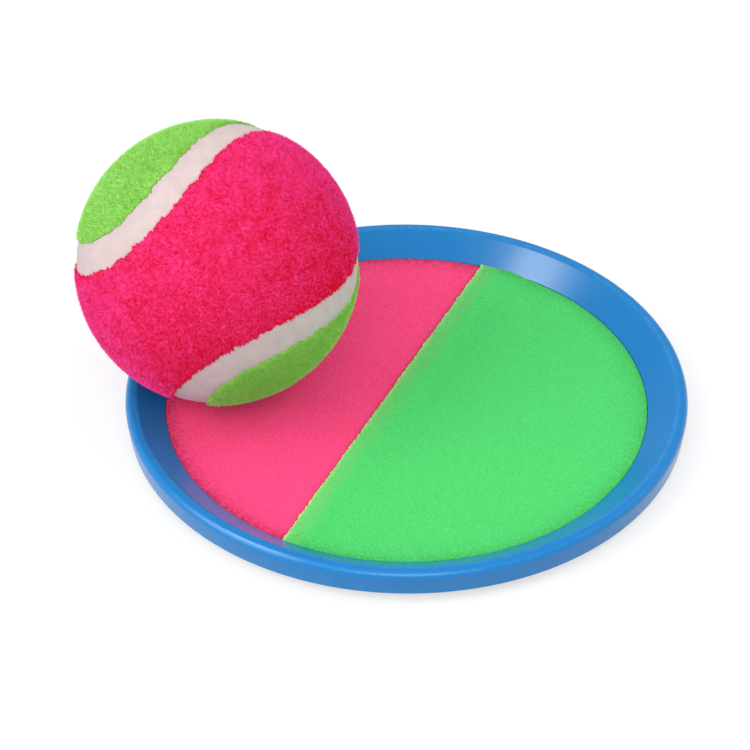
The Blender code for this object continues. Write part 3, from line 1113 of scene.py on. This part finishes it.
    def build_half(self, colour: Half, finish: LoopCloth, rests_on: Sequence[str]) -> None:
        """Builds and dresses one half.

        Args:
            colour: Which half.
            finish: The cloth.
            rests_on: Not used.
        """
        piece = make_piece(f"{colour.value}_face_cloth", shell(*self.half(colour)),
                           finish.material(self.effects), self.place)
        back = self.place.inverted()
        green = float(colour is Half.GREEN)
        wall_and_lap_shades, raws, laps = [], [], []
        for vert in piece.data.vertices:
            point = back @ vert.co
            # Painted shade along the border, where the dish's wall shades the cloth.
            border = math.exp(-max(0.0, self.radius - point.to_2d().length) / self.wall_shade_reach)
            # Painted shade on the pink half beside the green's raised edge.
            pressed = math.exp(-abs(point.x - self.edge) / self.pressed_reach)
            wall_and_lap_shades.append(max(border, (1 - green) * self.lap_shade_share * pressed))
            inset = max(0.0, point.x - self.edge)
            raws.append(green * math.exp(-inset / self.raw_reach))
            laps.append(green * eased((self.lap_band + self.lap_fade - inset) / self.lap_fade))
        for name, values in (("border", wall_and_lap_shades), ("raw", raws), ("lap", laps)):
            paint(piece, name, values)
        settle(piece, Slot[f"{colour.name}_CLOTH"], f"face_cloth_{colour.value}")

    def stitch_line(self) -> bmesh.types.BMesh:
        """Zigzag line that the lap's thread follows, in the seam's own frame.

        Returns:
            The line as a chain of edges.
        """
        bm = bmesh.new()
        reach = math.sqrt(self.radius**2 - self.edge**2) - self.stitch_inset
        count = int(2 * reach / self.stitch_pitch)
        sides = (self.edge + self.stitch_low, self.edge + self.stitch_high)
        height = self.top + self.lift(self.edge)
        verts = [bm.verts.new((sides[step % 2], -reach + 2 * reach * step / count, height))
                 for step in range(count + 1)]
        for pair in zip(verts, verts[1:]):
            bm.edges.new(pair)
        return bm

    def build_stitches(self, thread: SpunThread, tree: bpy.types.NodeTree) -> None:
        """Grows the zigzag stitches along the lap with a tree that lays one along each edge."""
        settle(sew("lap_stitches", self.stitch_line(), self.place, tree, self.thread_width,
                   self.stitch_overlap, thread.material(self.effects)), Slot.GREEN_CLOTH)


@dataclass
class HandStrap(Assembly):
    """Hand strap under the floor: a hook tape and a loop tape, each held by one rivet."""

    width: float = 25.0 * MM
    thickness: float = 1.1 * MM
    overlap: float = 44.0 * MM
    ramp: float = 6.0 * MM
    corner: float = 4.0 * MM
    reach: float = 66.984 * MM
    rivet_reach: float = 58.984 * MM
    low: float = 0.3 * MM
    high: float = 1.7 * MM
    hole_radius: float = 2.3 * MM
    shank_radius: float = 2.0 * MM
    head_radius: float = 4.5 * MM
    head_low: float = 0.8 * MM
    head_high: float = 1.4 * MM
    cap_radius: float = 3.5 * MM
    cap_low: float = 4.4 * MM
    cap_high: float = 4.9 * MM
    dimple_radius: float = 1.6 * MM
    dimple_depth: float = 0.35 * MM
    rivet_round: float = 0.1 * MM
    head_round: float = 0.3 * MM
    cap_round: float = 0.15 * MM
    rivet_facet: float = 0.05 * MM
    rivet_steps: int = 64
    edge_drop: float = 0.22 * MM
    edge_reach: float = 0.3 * MM
    stitch_inset: float = 1.6 * MM
    stitch_length: float = 2.6 * MM
    stitch_span: Span = (0.12, 0.88)
    thread_width: float = 0.4 * MM
    columns: int = 40
    rows: int = 90
    near_tip: tuple[float, ...] = (0, 0.1, 0.3, 0.6, 1.0, 1.5, 2.2, 3.0, 4.0)

    @property
    def rivet_places(self) -> dict[Side, Vector]:
        """Centres of the two rivets."""
        return {side: self.centre + Vector((side.value * self.rivet_reach, 0, 0)) for side in Side}

    def half_width(self, from_tip: float) -> float:
        """Half of the tape's width, which narrows at its rounded tip.

        Args:
            from_tip: Distance from the tip.

        Returns:
            Half of the width.
        """
        if from_tip >= self.corner:
            return self.width / 2
        short = self.corner - max(0.0, from_tip)
        return self.width / 2 - self.corner + math.sqrt(self.corner**2 - short**2)

    def tape(self, side: Side) -> bmesh.types.BMesh:
        """One tape as a closed thin sheet, with a crowned section and a rounded tip.

        Args:
            side: The end that the tape is riveted at.

        Returns:
            The tape, in the paddle's frame.
        """
        tip = -side.value * self.overlap / 2
        end = side.value * self.reach
        near = [step * MM for step in self.near_tip]
        rest = abs(end - tip) - near[-1]
        spans = near + [near[-1] + rest * step / self.rows for step in range(1, self.rows + 1)]
        top, bottom = [], []
        for span in spans:
            x = tip + side.value * span
            base = self.high
            if side is Side.LEFT:
                down = -self.overlap / 2 - GAP
                base = self.low + (self.high - self.low) * eased((down - x) / self.ramp)
            wide = self.half_width(span)
            upper, lower = [], []
            for column in range(self.columns + 1):
                share = math.sin(math.pi * (column / self.columns - 0.5))
                edge = wide * (1 - abs(share))
                rim = self.edge_drop * math.exp(-edge / self.edge_reach)
                upper.append(Vector((x, share * wide, base + self.thickness - rim)))
                lower.append(Vector((x, share * wide, base + rim)))
            top.append(upper)
            bottom.append(lower)
        return shell(top, bottom)

    def build_tape(self, side: Side, finish: WovenTape) -> None:
        """Builds and dresses one tape.

        Args:
            side: The end that the tape is riveted at.
            finish: The tape's finish.
        """
        kind = KINDS[side]
        piece = make_piece(f"{kind}_tape", self.tape(side), finish.material(self.effects),
                           Matrix.Translation(self.centre))
        punch(piece, [(self.rivet_places[side], self.hole_radius, 0, self.cap_high)])
        settle(piece, Slot(f"{kind}_tape"), f"strap_{kind}_half")

    def build_rivet(self, side: Side, material: bpy.types.Material) -> None:
        """Builds and dresses one rivet.

        Args:
            side: The strap's end that it holds.
            material: The rivet's finish.
        """
        outline = rounded([
            (0, self.head_low + self.dimple_depth, 0),
            (self.dimple_radius, self.head_low + self.dimple_depth, self.rivet_round),
            (self.dimple_radius + self.dimple_depth, self.head_low, self.rivet_round),
            (self.head_radius, self.head_low, self.head_round),
            (self.head_radius, self.head_high, self.rivet_round),
            (self.shank_radius, self.head_high, 0),
            (self.shank_radius, self.cap_low, 0),
            (self.cap_radius, self.cap_low, self.rivet_round),
            (self.cap_radius, self.cap_high, self.cap_round),
            (0, self.cap_high, 0),
        ], self.rivet_facet)
        piece = make_piece(f"rivet_{side.name.lower()}", lathe(outline, self.rivet_steps),
                           material, Matrix.Translation(self.rivet_places[side]))
        settle(piece, Slot.RIVET_STEEL, f"strap_rivet_{side.name.lower()}")

    def stitch_box(self, side: Side) -> bmesh.types.BMesh:
        """Box of stitches round a rivet, on the tape's underside.

        Args:
            side: The strap's end.

        Returns:
            The stitches as edges, in the paddle's frame.
        """
        bm = bmesh.new()
        outer = self.reach - self.stitch_inset
        inner = outer - (self.width - 2 * self.stitch_inset)
        half = self.width / 2 - self.stitch_inset
        corners = [Vector((side.value * x, y, self.high))
                   for x, y in ((outer, -half), (outer, half), (inner, half), (inner, -half))]
        for start, stop in zip(corners, corners[1:] + corners[:1]):
            count = round((stop - start).length / self.stitch_length)
            for step in range(count):
                pair = [bm.verts.new(start.lerp(stop, (step + share) / count))
                        for share in self.stitch_span]
                bm.edges.new(pair)
        return bm

    def build(self, tapes: dict[Side, WovenTape], steel: PlatedSteel, thread: SpunThread,
              tree: bpy.types.NodeTree) -> None:
        """Builds the tapes, their rivets and their stitches.

        Args:
            tapes: Finish of each tape.
            steel: Finish of the rivets.
            thread: Finish of the thread.
            tree: Geometry Nodes tree that lays a stitch along each edge.
        """
        plated = steel.material(self.effects)
        spun = thread.material(self.effects)
        for side in Side:
            self.build_tape(side, tapes[side])
            self.build_rivet(side, plated)
            piece = sew(f"strap_stitches_{side.name.lower()}", self.stitch_box(side),
                        Matrix.Translation(self.centre), tree, self.thread_width, 1.0, spun)
            settle(piece, Slot(f"{KINDS[side]}_tape"))


def stitch_tree() -> bpy.types.NodeTree:
    """Geometry Nodes tree that lays one rounded stitch along every edge of a guide.

    Returns:
        The tree.
    """
    graph, given, put = open_tree("laid_stitches", "GeometryNodeTree", {
        "Guide": ("NodeSocketGeometry", None),
        "Thread Width": ("NodeSocketFloat", 0.4 * MM),
        "Overlap": ("NodeSocketFloat", 1.0),
        "Finish": ("NodeSocketMaterial", None),
    }, {"Stitches": "NodeSocketGeometry"})
    ends = graph.add("GeometryNodeInputMeshEdgeVertices")
    along = graph.vector("SUBTRACT", ends.outputs["Position 2"], ends.outputs["Position 1"])
    length = graph.measure("LENGTH", along)
    split = graph.add("GeometryNodeSplitEdges", {"Mesh": given.outputs["Guide"]})
    caught = graph.add("GeometryNodeCaptureAttribute", {"Geometry": split.outputs[0]}, domain="EDGE")
    caught.capture_items.new("VECTOR", "Along")
    caught.capture_items.new("FLOAT", "Length")
    graph.feed(along, caught.inputs["Along"])
    graph.feed(length, caught.inputs["Length"])
    middles = graph.add("GeometryNodeMeshToPoints", {"Mesh": caught.outputs["Geometry"]},
                        mode="EDGES")
    turn = graph.add("FunctionNodeAlignRotationToVector", {"Vector": caught.outputs["Along"]},
                     axis="X")
    ball = graph.add("GeometryNodeMeshUVSphere", {"Segments": 8, "Rings": 6, "Radius": 0.5})
    wide = given.outputs["Thread Width"]
    long = graph.times(caught.outputs["Length"], given.outputs["Overlap"])
    size = graph.add("ShaderNodeCombineXYZ", {0: long, 1: wide, 2: wide})
    laid = graph.add("GeometryNodeInstanceOnPoints", {
        "Points": middles.outputs[0], "Instance": ball.outputs[0],
        "Rotation": turn.outputs[0], "Scale": size.outputs[0]})
    real = graph.add("GeometryNodeRealizeInstances", {0: laid.outputs[0]})
    smooth = graph.add("GeometryNodeSetShadeSmooth", {0: real.outputs[0]})
    dressed = graph.add("GeometryNodeSetMaterial", {"Geometry": smooth.outputs[0],
                                                    "Material": given.outputs["Finish"]})
    graph.feed(dressed.outputs[0], put.inputs[0])
    return graph.tree


def tuft_tree() -> bpy.types.NodeTree:
    """Geometry Nodes tree that stands leaning tufts of pile over a skin.

    Tufts on the side that the nap way points to, and tufts that fall over the cut edge, are shorter and
    deeper in tone; that tone is painted shade, which on that side of the ball stands in part for the
    nap's lay, and along the strip for the shade at the seam.

    Returns:
        The tree.
    """
    crowding, scatter, lengths = 1.6, 0.3, (0.8, 1.15)
    tone_ramp, tone_lengths = (0.33, 0.67), (0.75, 1.1)
    graph, given, put = open_tree("pile_tufts", "GeometryNodeTree", {
        "Skin": ("NodeSocketGeometry", None),
        "Spacing": ("NodeSocketFloat", 0.5 * MM),
        "Length": ("NodeSocketFloat", 1.2 * MM),
        "Width": ("NodeSocketFloat", 0.5 * MM),
        "Lean": ("NodeSocketFloat", 1.5),
        "Edge Fall": ("NodeSocketFloat", 1.0),
        "Clump Size": ("NodeSocketFloat", 2 * MM),
        # The nap sockets darken the tufts on one side of the ball as painted shade, which stands in part
        # for the nap's lay.
        "Nap": ("NodeSocketVector", (0.0, 0.0, 0.0)),
        "Nap From": ("NodeSocketFloat", 0.4),
        "Nap Shade Share": ("NodeSocketFloat", 2.0),
        # Share of painted shade on the tufts that fall over the cut edge.
        "Edge Shade Share": ("NodeSocketFloat", 0.8),
        "Seed": ("NodeSocketInt", 3),
        "Finish": ("NodeSocketMaterial", None),
    }, {"Tufts": "NodeSocketGeometry"})
    outer = graph.add("GeometryNodeInputNamedAttribute", {"Name": "outer"}, data_type="FLOAT")
    shown = graph.math("GREATER_THAN", outer.outputs[0], 0.5)
    spacing = given.outputs["Spacing"]
    dense = graph.math("DIVIDE", crowding, graph.times(spacing, spacing))
    roots = graph.add("GeometryNodeDistributePointsOnFaces", {
        "Mesh": given.outputs["Skin"], "Selection": shown, "Distance Min": spacing,
        "Density Max": dense, "Seed": given.outputs["Seed"]}, distribute_method="POISSON")
    place = graph.add("GeometryNodeInputPosition").outputs[0]
    clumps = graph.math("DIVIDE", 1.0, given.outputs["Clump Size"])
    swirl = graph.add("ShaderNodeTexNoise", {"Vector": place, "Scale": clumps, "Detail": 1.0})
    lean = graph.scaled(graph.vector("SUBTRACT", swirl.outputs[1], NOISE_MEAN),
                        given.outputs["Lean"])
    jitter = graph.add("FunctionNodeRandomValue", {
        0: [-scatter] * 3, 1: [scatter] * 3, "Seed": 5}, data_type="FLOAT_VECTOR").outputs[0]
    fall = graph.add("GeometryNodeInputNamedAttribute", {"Name": "fall"},
                     data_type="FLOAT_VECTOR").outputs[0]
    way = graph.vector("ADD", graph.vector("ADD", roots.outputs["Normal"], lean), jitter)
    way = graph.vector("ADD", way, graph.scaled(fall, given.outputs["Edge Fall"]))
    turn = graph.add("FunctionNodeAlignRotationToVector", {"Vector": way}, axis="Z")
    moved = graph.vector("ADD", place, (0.37, 0.11, 0.53))
    swell = graph.add("ShaderNodeTexNoise", {"Vector": moved, "Scale": clumps, "Detail": 2.0})
    # Painted shade on the side of the ball that the nap way points to, standing in part for the nap's
    # lay.
    pressed = graph.math("SUBTRACT", graph.measure("DOT_PRODUCT", roots.outputs["Normal"],
                                                   given.outputs["Nap"]), given.outputs["Nap From"])
    pressed = graph.times(graph.math("MAXIMUM", pressed, 0.0), given.outputs["Nap Shade Share"])
    # Painted shade along the cut edge, where the tufts fall over the strip.
    edge_shade = graph.times(graph.measure("LENGTH", fall), given.outputs["Edge Shade Share"])
    # Tone is random clumping less the painted shade of the nap side and of the cut edge.
    tone = graph.math("SUBTRACT", graph.remap(swell.outputs[0], *tone_ramp),
                      graph.plus(pressed, edge_shade))
    uneven = graph.add("FunctionNodeRandomValue", {2: lengths[0], 3: lengths[1], "Seed": 9},
                       data_type="FLOAT").outputs[1]
    tall = graph.times(graph.between(tone, tone_lengths), uneven)
    size = graph.add("ShaderNodeCombineXYZ", {0: 1.0, 1: 1.0, 2: tall})
    marked = graph.add("GeometryNodeStoreNamedAttribute", {
        "Geometry": roots.outputs["Points"], "Name": "tone", "Value": tone}, data_type="FLOAT",
        domain="POINT")
    spike = graph.add("GeometryNodeMeshCone", {
        "Vertices": 3, "Radius Top": 0.0,
        "Radius Bottom": graph.times(given.outputs["Width"], 0.5),
        "Depth": given.outputs["Length"]}, fill_type="NGON")
    height = graph.add("ShaderNodeSeparateXYZ", {0: place}).outputs[2]
    tipped = graph.add("GeometryNodeStoreNamedAttribute", {
        "Geometry": spike.outputs[0], "Name": "tip",
        "Value": graph.math("DIVIDE", height, given.outputs["Length"])}, data_type="FLOAT",
        domain="POINT")
    stood = graph.add("GeometryNodeInstanceOnPoints", {
        "Points": marked.outputs[0], "Instance": tipped.outputs[0],
        "Rotation": turn.outputs[0], "Scale": size.outputs[0]})
    real = graph.add("GeometryNodeRealizeInstances", {0: stood.outputs[0]})
    dressed = graph.add("GeometryNodeSetMaterial", {"Geometry": real.outputs[0],
                                                    "Material": given.outputs["Finish"]})
    graph.feed(dressed.outputs[0], put.inputs[0])
    return graph.tree


@dataclass
class PlushBall(Assembly):
    """Ball with two dumbbell-shaped pile panels and a white felt strip along their seam."""

    radius: float = 45.2 * MM
    body_radius: float = 43.6 * MM
    skin_radius: float = 44.55 * MM
    strip_radius: float = 44.3 * MM
    strip_width: float = 10.0 * MM
    strip_crown: float = 0.12 * MM
    roundness: float = 0.786
    turn: tuple[float, float, float] = (8.1, 81.7, -107.2)
    ragged: float = 1.1 * MM
    ragged_long: float = 3.0 * MM
    ragged_short: float = 0.8 * MM
    long_share: float = 0.7
    short_share: float = 0.8
    relief: float = 0.2 * MM
    fall_reach: float = 0.9 * MM
    fall_patch: float = 2.1 * MM
    fall_mean: float = 0.9
    fall_swing: float = 2.6
    shaded_skin_tip: float = 0.3
    shaded_skin_tone: float = 0.4
    seed: int = 3
    first_share: float = 0.0015
    last_share: float = 0.9985
    tuft_spacing: float = 0.33 * MM
    tuft_length: float = 1.15 * MM
    tuft_width: float = 0.36 * MM
    clump_size: float = 1.1 * MM
    lean: float = 2.3
    # Way towards which the tufts are darkened as painted shade, standing in part for the nap's lay.
    nap: tuple[float, float, float] = (0.4, -0.9, 0.1)
    rows: int = 620
    columns: int = 48
    inner_columns: int = 6
    measured_rows: int = 20
    strip_sections: int = 1300
    strip_columns: int = 12

    def seam_point(self, turn: float, offset: float) -> Vector:
        """Point of the seam on the unit sphere, moved across the seam.

        Args:
            turn: Place along the seam, once round being a full turn.
            offset: Angle across the seam.

        Returns:
            The unit vector.
        """
        first, third = self.roundness, 1 - self.roundness
        rise = 2 * math.sqrt(first * third)
        point = Vector((first * math.cos(turn) + third * math.cos(3 * turn),
                        first * math.sin(turn) - third * math.sin(3 * turn),
                        rise * math.sin(2 * turn)))
        along = Vector((-first * math.sin(turn) - 3 * third * math.sin(3 * turn),
                        first * math.cos(turn) - 3 * third * math.cos(3 * turn),
                        2 * rise * math.cos(2 * turn)))
        across = along.cross(point).normalized()
        return point * math.cos(offset) - across * math.sin(offset)

    @property
    def attitude(self) -> Matrix:
        """Where the seam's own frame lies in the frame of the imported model."""
        turn = Euler([math.radians(angle) for angle in self.turn])
        return Matrix.Translation(self.centre) @ turn.to_matrix().to_4x4()

    def stray(self, turn: float) -> float:
        """How far the seam's cut edge strays from its line.

        Args:
            turn: Place along the seam.

        Returns:
            The angle across the seam.
        """
        spot = self.seam_point(turn, 0) * self.body_radius
        waves = (self.long_share * noise.noise(spot / self.ragged_long)
                 + self.short_share * noise.noise(spot / self.ragged_short))
        return self.ragged * waves / self.body_radius

    def outward(self, rows: list[list[Vector]], turned: Matrix) -> list[float]:
        """Directions in which the pile falls over its cut edge, strong at the edge.

        Args:
            rows: The panel's grid about the ball's centre.
            turned: The panel's attitude.

        Returns:
            Three numbers for each point, in order.
        """
        falls: list[float] = []
        for row in rows:
            for point in row:
                fall = Vector((0, 0, 0))
                for edge, other in ((row[0], row[-1]), (row[-1], row[0])):
                    gust = self.fall_mean + self.fall_swing * noise.noise(edge / self.fall_patch)
                    way = (edge - other).normalized() * max(0.0, gust)
                    fall += way * math.exp(-(point - edge).length / self.fall_reach)
                falls.extend(turned @ fall)
        return falls

    def panel_layer(self, columns: int, radius: float, relief: float) -> list[list[Vector]]:
        """Grid over one panel between its two poles, as rows across it.

        Args:
            columns: Faces across a row.
            radius: Distance from the ball's centre.
            relief: Height of the uneven swelling added to it.

        Returns:
            The rows of points.
        """
        border = (self.strip_width / 2 + GAP) / self.body_radius
        first, last = -math.pi / 4, 3 * math.pi / 4
        rows = []
        for number in range(self.rows + 1):
            share = min(max(number / self.rows, self.first_share), self.last_share)
            turn = first + (last - first) * share
            left, right = (self.seam_point(place, border + self.stray(place))
                           for place in (turn, 1.5 * math.pi - turn))
            row = []
            for column in range(columns + 1):
                point = left.slerp(right, column / columns) if left.angle(right) > 1e-6 else left
                swell = noise.noise(point * (self.radius / self.clump_size)) * relief
                row.append(point * (radius + swell))
            rows.append(row)
        return rows

    def flat_cut(self, rows: list[list[Vector]]) -> tuple[float, float, float]:
        """Width and length of a panel's dumbbell-shaped flat cut, and its area.

        Args:
            rows: The panel's outer grid about the ball's centre.

        Returns:
            The width over a lobe, the length over both lobes, and the area.
        """
        smooth = [[point.normalized() * self.skin_radius for point in row] for row in rows]
        width = max(row[0].angle(row[-1]) for row in smooth[1:-1]) * self.skin_radius
        middles = [row[len(row) // 2] for row in smooth[::self.measured_rows]]
        length = sum((spot - last).length for last, spot in zip(middles, middles[1:]))
        area = 0.0
        for row, following in zip(smooth, smooth[1:]):
            for low, high, beyond, back in zip(row, row[1:], following[1:], following):
                area += (beyond - low).cross(back - high).length / 2
        return width, length, area

    def build_panel(self, colour: Half, finish: BrushedPile, tree: bpy.types.NodeTree) -> None:
        """Builds one panel's skin and grows its tufts.

        Args:
            colour: Which panel.
            finish: The pile.
            tree: Geometry Nodes tree of the tufts.
        """
        material = finish.material(self.effects)
        bm = bmesh.new()
        grids = [self.panel_layer(self.columns, self.skin_radius, self.relief),
                 self.panel_layer(self.inner_columns, self.body_radius, 0.0)]
        layers = [add_grid(bm, grid) for grid in grids]
        for layer in layers:
            face_grid(bm, layer)
        for end in (0, -1):
            wide, narrow = layers[0][end], layers[1][end]
            ratio = self.columns // self.inner_columns
            for step in range(self.inner_columns):
                bm.faces.new(wide[step * ratio:(step + 1) * ratio + 1]
                             + [narrow[step + 1], narrow[step]])
            for number in range(self.rows):
                bm.faces.new((layers[0][number][end], layers[0][number + 1][end],
                              layers[1][number + 1][end], layers[1][number][end]))
        attitude = self.attitude
        if colour is Half.GREEN:
            attitude = attitude @ Matrix.Rotation(math.pi, 4, "X")
        skin = make_piece(f"{colour.value}_pile_panel", bm, material, attitude)
        limit = (self.body_radius + self.skin_radius) / 2
        points = [vert.co - self.centre for vert in skin.data.vertices]
        count = len(points)
        paint(skin, "outer", [float(point.length > limit) for point in points])
        # The skin between the tufts takes low tip and tone shares, so it is painted in the pile's shade.
        paint(skin, "tip", [self.shaded_skin_tip] * count)
        paint(skin, "tone", [self.shaded_skin_tone] * count)
        falls = self.outward(grids[0], attitude.to_3x3())
        falls += [0.0] * (3 * count - len(falls))
        kept = skin.data.attributes.new("fall", "FLOAT_VECTOR", "POINT")
        kept.data.foreach_set("vector", falls)
        tufts = grow(f"{colour.value}_pile_tufts", skin, tree, {
            "Spacing": self.tuft_spacing, "Length": self.tuft_length, "Width": self.tuft_width,
            "Lean": self.lean, "Clump Size": self.clump_size, "Nap": self.nap,
            "Seed": self.seed, "Finish": material})
        slot = Slot[f"{colour.name}_PILE"]
        settle(skin, slot, f"ball_pile_{colour.value}")
        settle(tufts, slot)

    def build_strip(self, finish: FlatFelt) -> None:
        """Builds and dresses the felt strip.

        Args:
            finish: The felt.
        """
        bm = bmesh.new()
        half = self.strip_width / 2 / self.body_radius
        shares = [2 * column / self.strip_columns - 1 for column in range(self.strip_columns + 1)]
        section = [(share, self.strip_radius + self.strip_crown * (1 - share**4))
                   for share in shares]
        section += [(share, self.body_radius) for share in reversed(shares)]
        rings = []
        for number in range(self.strip_sections):
            turn = math.tau * number / self.strip_sections
            strays = (self.stray(-turn), self.stray(turn))
            rings.append([bm.verts.new(self.seam_point(
                turn, share * (half + strays[share > 0])) * radius) for share, radius in section])
        for number, ring in enumerate(rings):
            last = rings[number - 1]
            for here in range(len(section)):
                bm.faces.new((last[here - 1], last[here], ring[here], ring[here - 1]))
        strip = make_piece("felt_strip", bm, finish.material(self.effects), self.attitude)
        settle(strip, Slot.WHITE_FELT, "ball_seam_strip")


class Reach(Enum):
    """What a lamp's light shows in."""

    ALL = "all"
    GLOSS = "reflections only"
    MATTE = "all but reflections"


@dataclass(frozen=True)
class SoftLamp:
    """One round studio lamp."""

    name: str
    way: tuple[float, float, float]
    distance: float
    size: float
    power: float
    reach: Reach = Reach.ALL

    def hang(self) -> None:
        """Hangs the lamp so that it faces the object."""
        light = bpy.data.lights.new(self.name, "AREA")
        light.shape = "DISK"
        light.size = self.size
        light.energy = self.power
        holder = bpy.data.objects.new(self.name, light)
        bpy.context.collection.objects.link(holder)
        holder.location = Vector(self.way).normalized() * self.distance
        holder.rotation_euler = Vector(self.way).to_track_quat("Z", "Y").to_euler()
        holder.visible_diffuse = self.reach is not Reach.GLOSS
        holder.visible_glossy = self.reach is not Reach.MATTE


LAMPS = (
    SoftLamp("front_key", (0.0, -0.75, 0.62), distance=1.6, size=1.0, power=9.0),
    SoftLamp("side_fill", (-0.8, -0.3, 0.6), distance=1.8, size=1.4, power=17.0),
    SoftLamp("gloss_card", (-0.524, -0.055, 0.853), distance=1.4, size=0.42, power=6.0,
             reach=Reach.GLOSS),
    SoftLamp("right_fill", (0.75, 0.15, 0.6), distance=1.8, size=1.2, power=7.0,
             reach=Reach.MATTE),
)


@dataclass
class Studio:
    """Plain pale floor, soft lights, and a camera at the photograph's viewing angle."""

    aim: tuple[float, float, float] = (-2.54 * MM, 22.03 * MM, -0.85 * MM)
    distance: float = 1.1
    elevation: float = math.radians(38.5)
    lens: float = 161.07
    sensor: float = 36.0
    floor_reach: float = 4.0
    floor_shade: float = 0.4
    floor_glow: float = 0.58
    sky_light: float = 0.78
    sky_gloss: float = 0.5

    def seen_by(self, graph: Graph, *rays: str) -> Socket:
        """Tells some kinds of ray from those that light the object.

        Args:
            graph: Where the nodes go.
            rays: Names of the kinds of ray.

        Returns:
            1 for these kinds of ray and 0 for all others.
        """
        path = graph.add("ShaderNodeLightPath").outputs
        share = path[rays[0]]
        for ray in rays[1:]:
            share = graph.math("MAXIMUM", share, path[ray])
        return share

    def build_world(self) -> None:
        """White background that lights the object at its own strength."""
        world = bpy.data.worlds.new("studio")
        bpy.context.scene.world = world
        world.use_nodes = True
        graph = Graph(world.node_tree)
        lit = graph.between(self.seen_by(graph, "Is Glossy Ray"), (self.sky_light, self.sky_gloss))
        strength = graph.math("MAXIMUM", self.seen_by(graph, "Is Camera Ray"), lit)
        background = world.node_tree.nodes["Background"]
        background.inputs["Color"].default_value = WHITE
        graph.feed(strength, background.inputs["Strength"])

    def build_floor(self) -> None:
        """Pale floor that looks near white and keeps the object's shadow."""
        bm = bmesh.new()
        bmesh.ops.create_grid(bm, x_segments=1, y_segments=1, size=self.floor_reach)
        material = bpy.data.materials.new("pale_floor")
        material.use_nodes = True
        graph = Graph(material.node_tree)
        shader = material.node_tree.nodes["Principled BSDF"]
        for name, value in (("Base Color", (*[self.floor_shade] * 3, 1)), ("Roughness", 1.0),
                            ("Specular IOR Level", 0.0), ("Emission Color", WHITE)):
            shader.inputs[name].default_value = value
        seen = self.seen_by(graph, "Is Camera Ray", "Is Glossy Ray")
        graph.feed(graph.times(seen, self.floor_glow), shader.inputs["Emission Strength"])
        make_piece("floor", bm, material)

    def build_camera(self) -> None:
        """Camera at the photograph's viewing angle."""
        camera = bpy.data.cameras.new("camera")
        camera.lens = self.lens
        camera.sensor_width = self.sensor
        holder = bpy.data.objects.new("camera", camera)
        bpy.context.collection.objects.link(holder)
        away = Vector((0, -math.cos(self.elevation), math.sin(self.elevation)))
        holder.location = Vector(self.aim) + away * self.distance
        holder.rotation_euler = away.to_track_quat("Z", "Y").to_euler()
        bpy.context.scene.camera = holder

    def build(self) -> None:
        """Builds the whole studio."""
        bpy.context.scene.view_settings.view_transform = "Standard"
        self.build_world()
        self.build_floor()
        for lamp in LAMPS:
            lamp.hang()
        self.build_camera()


PLASTIC = MouldedPlastic("blue_plastic", colour=(4, 118, 188), rubbed=(90, 168, 220))
# edge is the painted shade along each half's border, and on the pink half beside the lap.
CLOTHS = {
    Half.PINK: LoopCloth(
        "pink_cloth", colour=(255, 70, 134), deep=(230, 42, 90), edge=(190, 36, 84),
        raw=(252, 66, 126), lap=(252, 66, 126), speck=(252, 66, 126)),
    Half.GREEN: LoopCloth(
        "green_cloth", colour=(73, 209, 109), deep=(66, 180, 78), edge=(60, 178, 82),
        raw=(190, 232, 136), lap=(108, 198, 104), speck=(156, 150, 104)),
}
LAP_THREAD = SpunThread("lap_thread", (96, 214, 110), (84, 186, 92))
PILES = {
    Half.PINK: BrushedPile(
        "pink_pile", tip=(255, 86, 184), root=(220, 3, 38), sheen_tint=(255, 60, 130)),
    Half.GREEN: BrushedPile(
        "green_pile", tip=(174, 234, 128), root=(138, 194, 82), sheen_tint=(170, 240, 120)),
}
FELT = FlatFelt("white_felt", (208, 190, 190), (188, 170, 170))
TAPES = {
    Side.RIGHT: WovenTape("hook_tape", (26, 28, 32), (48, 50, 56)),
    Side.LEFT: WovenTape("loop_tape", (34, 36, 42), (60, 62, 70)),
}
STEEL = PlatedSteel("rivet_steel", (196, 198, 202))
STRAP_THREAD = SpunThread("strap_thread", (70, 72, 80), (40, 42, 48))
CORE = FlatFelt("core_foam", (205, 200, 190), (190, 184, 172))


def main() -> None:
    """Builds every sub-assembly in order, then the studio."""
    logging.basicConfig(level=logging.INFO, format="%(name)s: %(message)s")
    effects = SharedEffects()
    paddle = node_centre("paddle_dish")
    paddle.z = 0.0
    strap = HandStrap(paddle, effects)
    MouldedDish(paddle, effects).build(list(strap.rivet_places.values()), PLASTIC)
    cloth = FaceCloth(paddle, effects)
    stitches = stitch_tree()
    cloth.build_half(Half.PINK, CLOTHS[Half.PINK], ["dish_moulding"])
    cloth.build_half(Half.GREEN, CLOTHS[Half.GREEN], ["dish_moulding", "pink_face_cloth"])
    cloth.build_stitches(LAP_THREAD, stitches)
    strap.build(TAPES, STEEL, STRAP_THREAD, stitches)
    ball = PlushBall(node_centre("ball_core"), effects)
    tufts = tuft_tree()
    for colour in Half:
        ball.build_panel(colour, PILES[colour], tufts)
    ball.build_strip(FELT)
    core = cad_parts["ball_core"]
    core.data.materials.clear()
    core.data.materials.append(CORE.material(effects))
    Studio().build()


if __name__ == "__main__":
    main()
